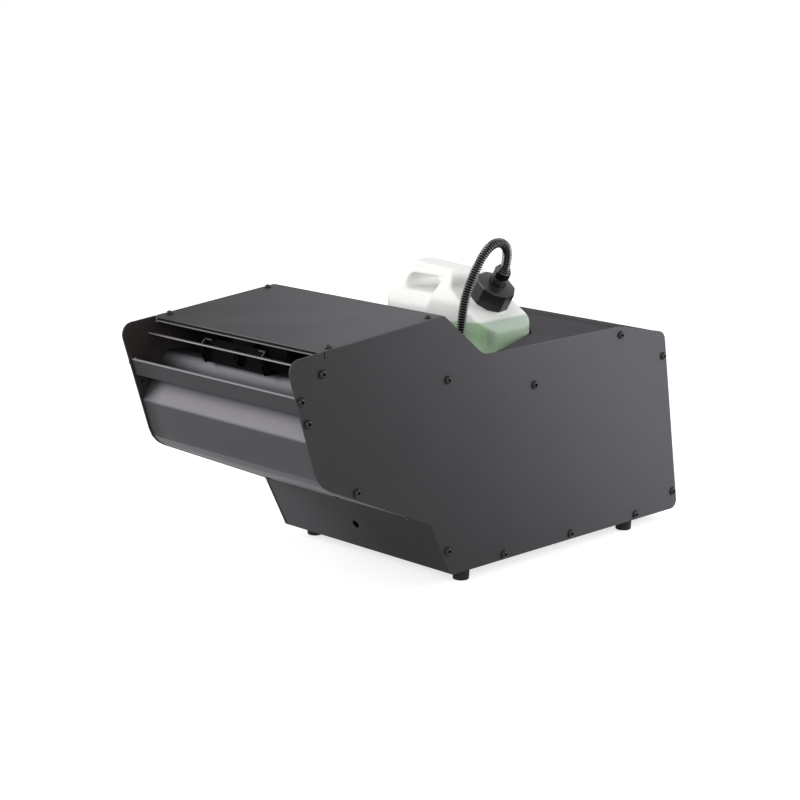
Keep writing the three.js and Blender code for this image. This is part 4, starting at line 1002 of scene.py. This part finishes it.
# ---------------------------------------------------------------- bottle
def bottle_skin():
    """Milky plastic, white above the fluid and green below it; the fluid is painted lighter in a band low in
    the bay, and at the bottle's end painted darker as shade, with a painted highlight just under the level.
    """
    look = bpy.context.scene.fog_bottle
    material = surface("milky_plastic", look.plastic, 0.46, grain=0.004, mottle=0.04, bump=0.1, depth=0.0003,
                       rough_swing=0.06, specular=0.3, seed=9.0, Subsurface_Weight=0.35,
                       Subsurface_Scale=0.01)
    tree = material.node_tree
    shader = tree.nodes["Principled BSDF"]
    shader.inputs["Subsurface Radius"].default_value = (1, 1, 1)
    place = add(tree, "ShaderNodeTexCoord").outputs["Object"]
    split = add(tree, "ShaderNodeSeparateXYZ", {0: place})
    x, y, z = (split.outputs[axis] for axis in "XYZ")

    def by_height(near, far, low=0.0, high=1.0):
        """A soft step between two heights, each given from the fluid's level."""
        return ramp(tree, z, FLUID_LEVEL + near, FLUID_LEVEL + far, low, high, "SMOOTHSTEP")

    sag = ramp(tree, x, BOTTLE_END, 0.023, 0.0, 0.0055)  # the level shows lower away from the end
    height = reckon(tree, "ADD", z, sag)
    wet = ramp(tree, height, FLUID_LEVEL + 0.0014, FLUID_LEVEL - 0.0014)
    past_corner = ramp(tree, y, 0.0311, 0.0329, 0.0, 1.0, "SMOOTHSTEP")  # 0 on the front and its corner
    at_end = ramp(tree, x, 0.062, 0.07, 0.0, past_corner)
    upper = by_height(-0.034, -0.016)
    lower = by_height(-0.06, -0.036, 1.0, 0.0)
    links = {0: upper, 1: lower}
    off_middle = add(tree, "ShaderNodeMath", links, operation="ADD", use_clamp=True).outputs[0]
    # Painted light: the fluid is lighter in a band some way under the level, low in the bay, where the bay
    # shades it.
    bright = times(look.fluid, 1.75)
    body = blend(tree, off_middle, (*bright, 1), (*look.fluid, 1))
    # Painted shade and highlight on the bottle's end, near the level.
    wall = blend(tree, by_height(-0.014, -0.003), (*look.end_shade, 1), (*look.lit_band, 1))
    fluid = blend(tree, reckon(tree, "MULTIPLY", at_end, upper), body, wall)
    tinted = blend(tree, wet, own_tone(material), fluid)
    tree.links.new(tinted, shader.inputs["Base Color"])
    return material


class FOG_OT_bottle(bpy.types.Operator):
    """Make the bottle's smooth skin and colour its fluid"""

    bl_idname = "fog_machine.bottle"
    bl_label = "Bottle"

    def execute(self, context):
        piece = link(mesh_from(merged_copy("bottle"), "bottle_moulded"), "bottle_moulded")
        remesh = piece.modifiers.new("Even", "REMESH")
        remesh.mode = "VOXEL"
        remesh.voxel_size = 0.0016
        ease = piece.modifiers.new("Ease", "SMOOTH")
        ease.factor = 0.5
        ease.iterations = 10
        piece.data = final_mesh(piece)
        shade_smooth(piece.data)
        piece.data.materials.clear()
        piece.data.materials.append(bottle_skin())
        finish(piece, "bottle_body", "bottle", "bottle")
        inside = frame["nodes"]["fluid"].data.materials
        inside.clear()
        inside.append(green_fluid())
        return {"FINISHED"}


# ---------------------------------------------------------------- cap and fitting
def fluted_cap():
    """The cap: broad flats with a rounded rim and a low cone on top, and a bore for the hose's fitting."""
    sides = 80
    facets = 10
    base, top = 3.0, 27.0  # out along the neck, in millimetres as all the cap's sizes
    radius = 22.6
    lean = math.radians(-10)  # how far the flats are turned
    bm = bmesh.new()

    def ring(r, z, flatness=0.0):
        out = []
        for k in range(sides):
            angle = 2 * math.pi * k / sides
            off = angle % (2 * math.pi / facets) - math.pi / facets
            here = r * (1 - flatness * (1 - math.cos(math.pi / facets) / math.cos(off)))
            at = angle + lean
            out.append(bm.verts.new((here * math.cos(at) * MM, here * math.sin(at) * MM, z * MM)))
        return out

    rings = [
        ring(18.6, base + 0.2), ring(radius - 0.6, base, 0.8), ring(radius, base + 0.6, 1.0),
        ring(radius, top - 3.2, 1.0), ring(radius - 0.25, top - 2.5, 1.0), ring(radius - 0.9, top - 2.1, 0.9),
        ring(radius - 3.0, top - 1.7, 0.4), ring(12.0, top - 0.4), ring(6.9, top - 0.1), ring(6.8, top - 2.3),
        ring(6.8, top - 2.31), ring(18.5, top - 2.31), ring(18.5, base + 0.21),
    ]
    bands = joined(bm, [*rings, rings[0]])
    rim = 3  # the band at the edge of the rim, where the highlight is painted
    for face in bands[rim]:
        face.material_index = 1
    bmesh.ops.recalc_face_normals(bm, faces=bm.faces)
    bm.transform(NECK)
    return mesh_from(bm, "cap_fluted")


class FOG_OT_cap(bpy.types.Operator):
    """Make the bottle's cap and the fitting that the hose goes into"""

    bl_idname = "fog_machine.cap"
    bl_label = "Cap and fitting"

    def execute(self, context):
        cap = link(fluted_cap(), "cap_fluted")
        cap.data.materials.append(cap_black())
        cap.data.materials.append(cap_rim())
        soften(cap, 0.0008, angle=26)
        finish(cap, "cap_body", "black_plastic", "cap")
        dressed("hose_fitting", black_plastic(), body="pickup", bevel=0.0006, angle=50)
        dressed("gland_nut", gloss_black(), body="pickup", bevel=0.0006, angle=25)
        for node in ("dip_tube", "pickup_filter"):
            dressed(node, satin_black(), body="pickup", bevel=0.0003, angle=50)
        return {"FINISHED"}


# ---------------------------------------------------------------- feet, seals and the works inside
class FOG_OT_rubber(bpy.types.Operator):
    """Finish the feet, the grommet and the bottle's cradle"""

    bl_idname = "fog_machine.rubber"
    bl_label = "Feet and seals"

    def execute(self, context):
        for node in ("foot_front_right", "foot_front_left", "foot_rear_right", "foot_rear_left"):
            dressed(node, black_rubber(), bevel=0.0009, segments=3, angle=40)
        for node in ("bottle_cradle", "hose_grommet"):
            dressed(node, black_rubber(), bevel=0.0007, angle=40)
        return {"FINISHED"}


class FOG_OT_works(bpy.types.Operator):
    """Finish the heater, the nozzle, the pump and the electronics"""

    bl_idname = "fog_machine.works"
    bl_label = "Works"

    def execute(self, context):
        for node in ("heater_block", "heater_shelf", "heater_saddle_front", "heater_saddle_rear"):
            dressed(node, dark_metal(), bevel=0.0005)
        dressed("nozzle", shadow_black(), bevel=0.0005)
        for node in ("pump_bracket", "transformer"):
            dressed(node, plain_steel(), bevel=0.0004)
        for node in ("thermostat", "pump"):
            dressed(node, satin_black(), bevel=0.0006)
        dressed("control_board", circuit_board(), bevel=0.0003)
        for node in ("pressure_line", "suction_line"):
            dressed(node, clear_tube(), bevel=0.0002, angle=60)
        return {"FINISHED"}


# ---------------------------------------------------------------- rear panel
class FOG_OT_controls(bpy.types.Operator):
    """Finish the sockets, the switch, the display and the buttons"""

    bl_idname = "fog_machine.controls"
    bl_label = "Controls"

    def execute(self, context):
        for node in ("power_inlet", "switch_housing", "fuse_holder", "data_inlet", "data_outlet"):
            dressed(node, black_plastic(), bevel=0.0006)
        dressed("fuse_cap", black_plastic(), body="fuse_cap_body", bevel=0.0005)
        dressed("switch_rocker", rocker_red(), body="rocker_body", bevel=0.0008, segments=3)
        dressed("display_window", smoked_window(), bevel=0.0006)
        for k in range(1, 5):
            dressed(f"button_{k}", button_grey(), body=f"button_{k}_body", bevel=0.0005, segments=3)
        return {"FINISHED"}


class FOG_OT_fan(bpy.types.Operator):
    """Finish the fan and its guard"""

    bl_idname = "fog_machine.fan"
    bl_label = "Fan"

    def execute(self, context):
        dressed("fan_frame", satin_black(), bevel=0.0006)
        dressed("fan_rotor", satin_black(), body="fan_body", bevel=0.0004)
        dressed("fan_guard", plain_steel(), bevel=0.0001, angle=80)
        return {"FINISHED"}


# ---------------------------------------------------------------- panel and registration
STEPS = (
    FOG_OT_camera, FOG_OT_hose, FOG_OT_housing, FOG_OT_screws, FOG_OT_bottle, FOG_OT_cap, FOG_OT_rubber,
    FOG_OT_works, FOG_OT_controls, FOG_OT_fan, FOG_OT_stage,
)
GROUPS = (
    ("fog_housing", FogHousing), ("fog_screws", FogScrews), ("fog_bottle", FogBottle), ("fog_hose", FogHose),
    ("fog_stage", FogStage),
)


class FOG_PT_panel(bpy.types.Panel):
    """Sizes, colours and steps of the fog machine"""

    bl_idname = "FOG_PT_panel"
    bl_label = "Fog machine"
    bl_space_type = "VIEW_3D"
    bl_region_type = "UI"
    bl_category = "Fog machine"

    def draw(self, context):
        for name, group in GROUPS:
            box = self.layout.box()
            for key in group.__annotations__:
                box.prop(getattr(context.scene, name), key)
        for step in STEPS:
            self.layout.operator(step.bl_idname)


def register():
    for name, group in GROUPS:
        bpy.utils.register_class(group)
        setattr(bpy.types.Scene, name, PointerProperty(type=group))
    for item in (*STEPS, FOG_PT_panel):
        bpy.utils.register_class(item)


def unregister():
    for item in reversed((*STEPS, FOG_PT_panel)):
        bpy.utils.unregister_class(item)
    for name, group in reversed(GROUPS):
        delattr(bpy.types.Scene, name)
        bpy.utils.unregister_class(group)


def main():
    register()
    for step in STEPS:
        category, action = step.bl_idname.split(".")
        getattr(getattr(bpy.ops, category), action)()


if __name__ == "__main__":
    main()
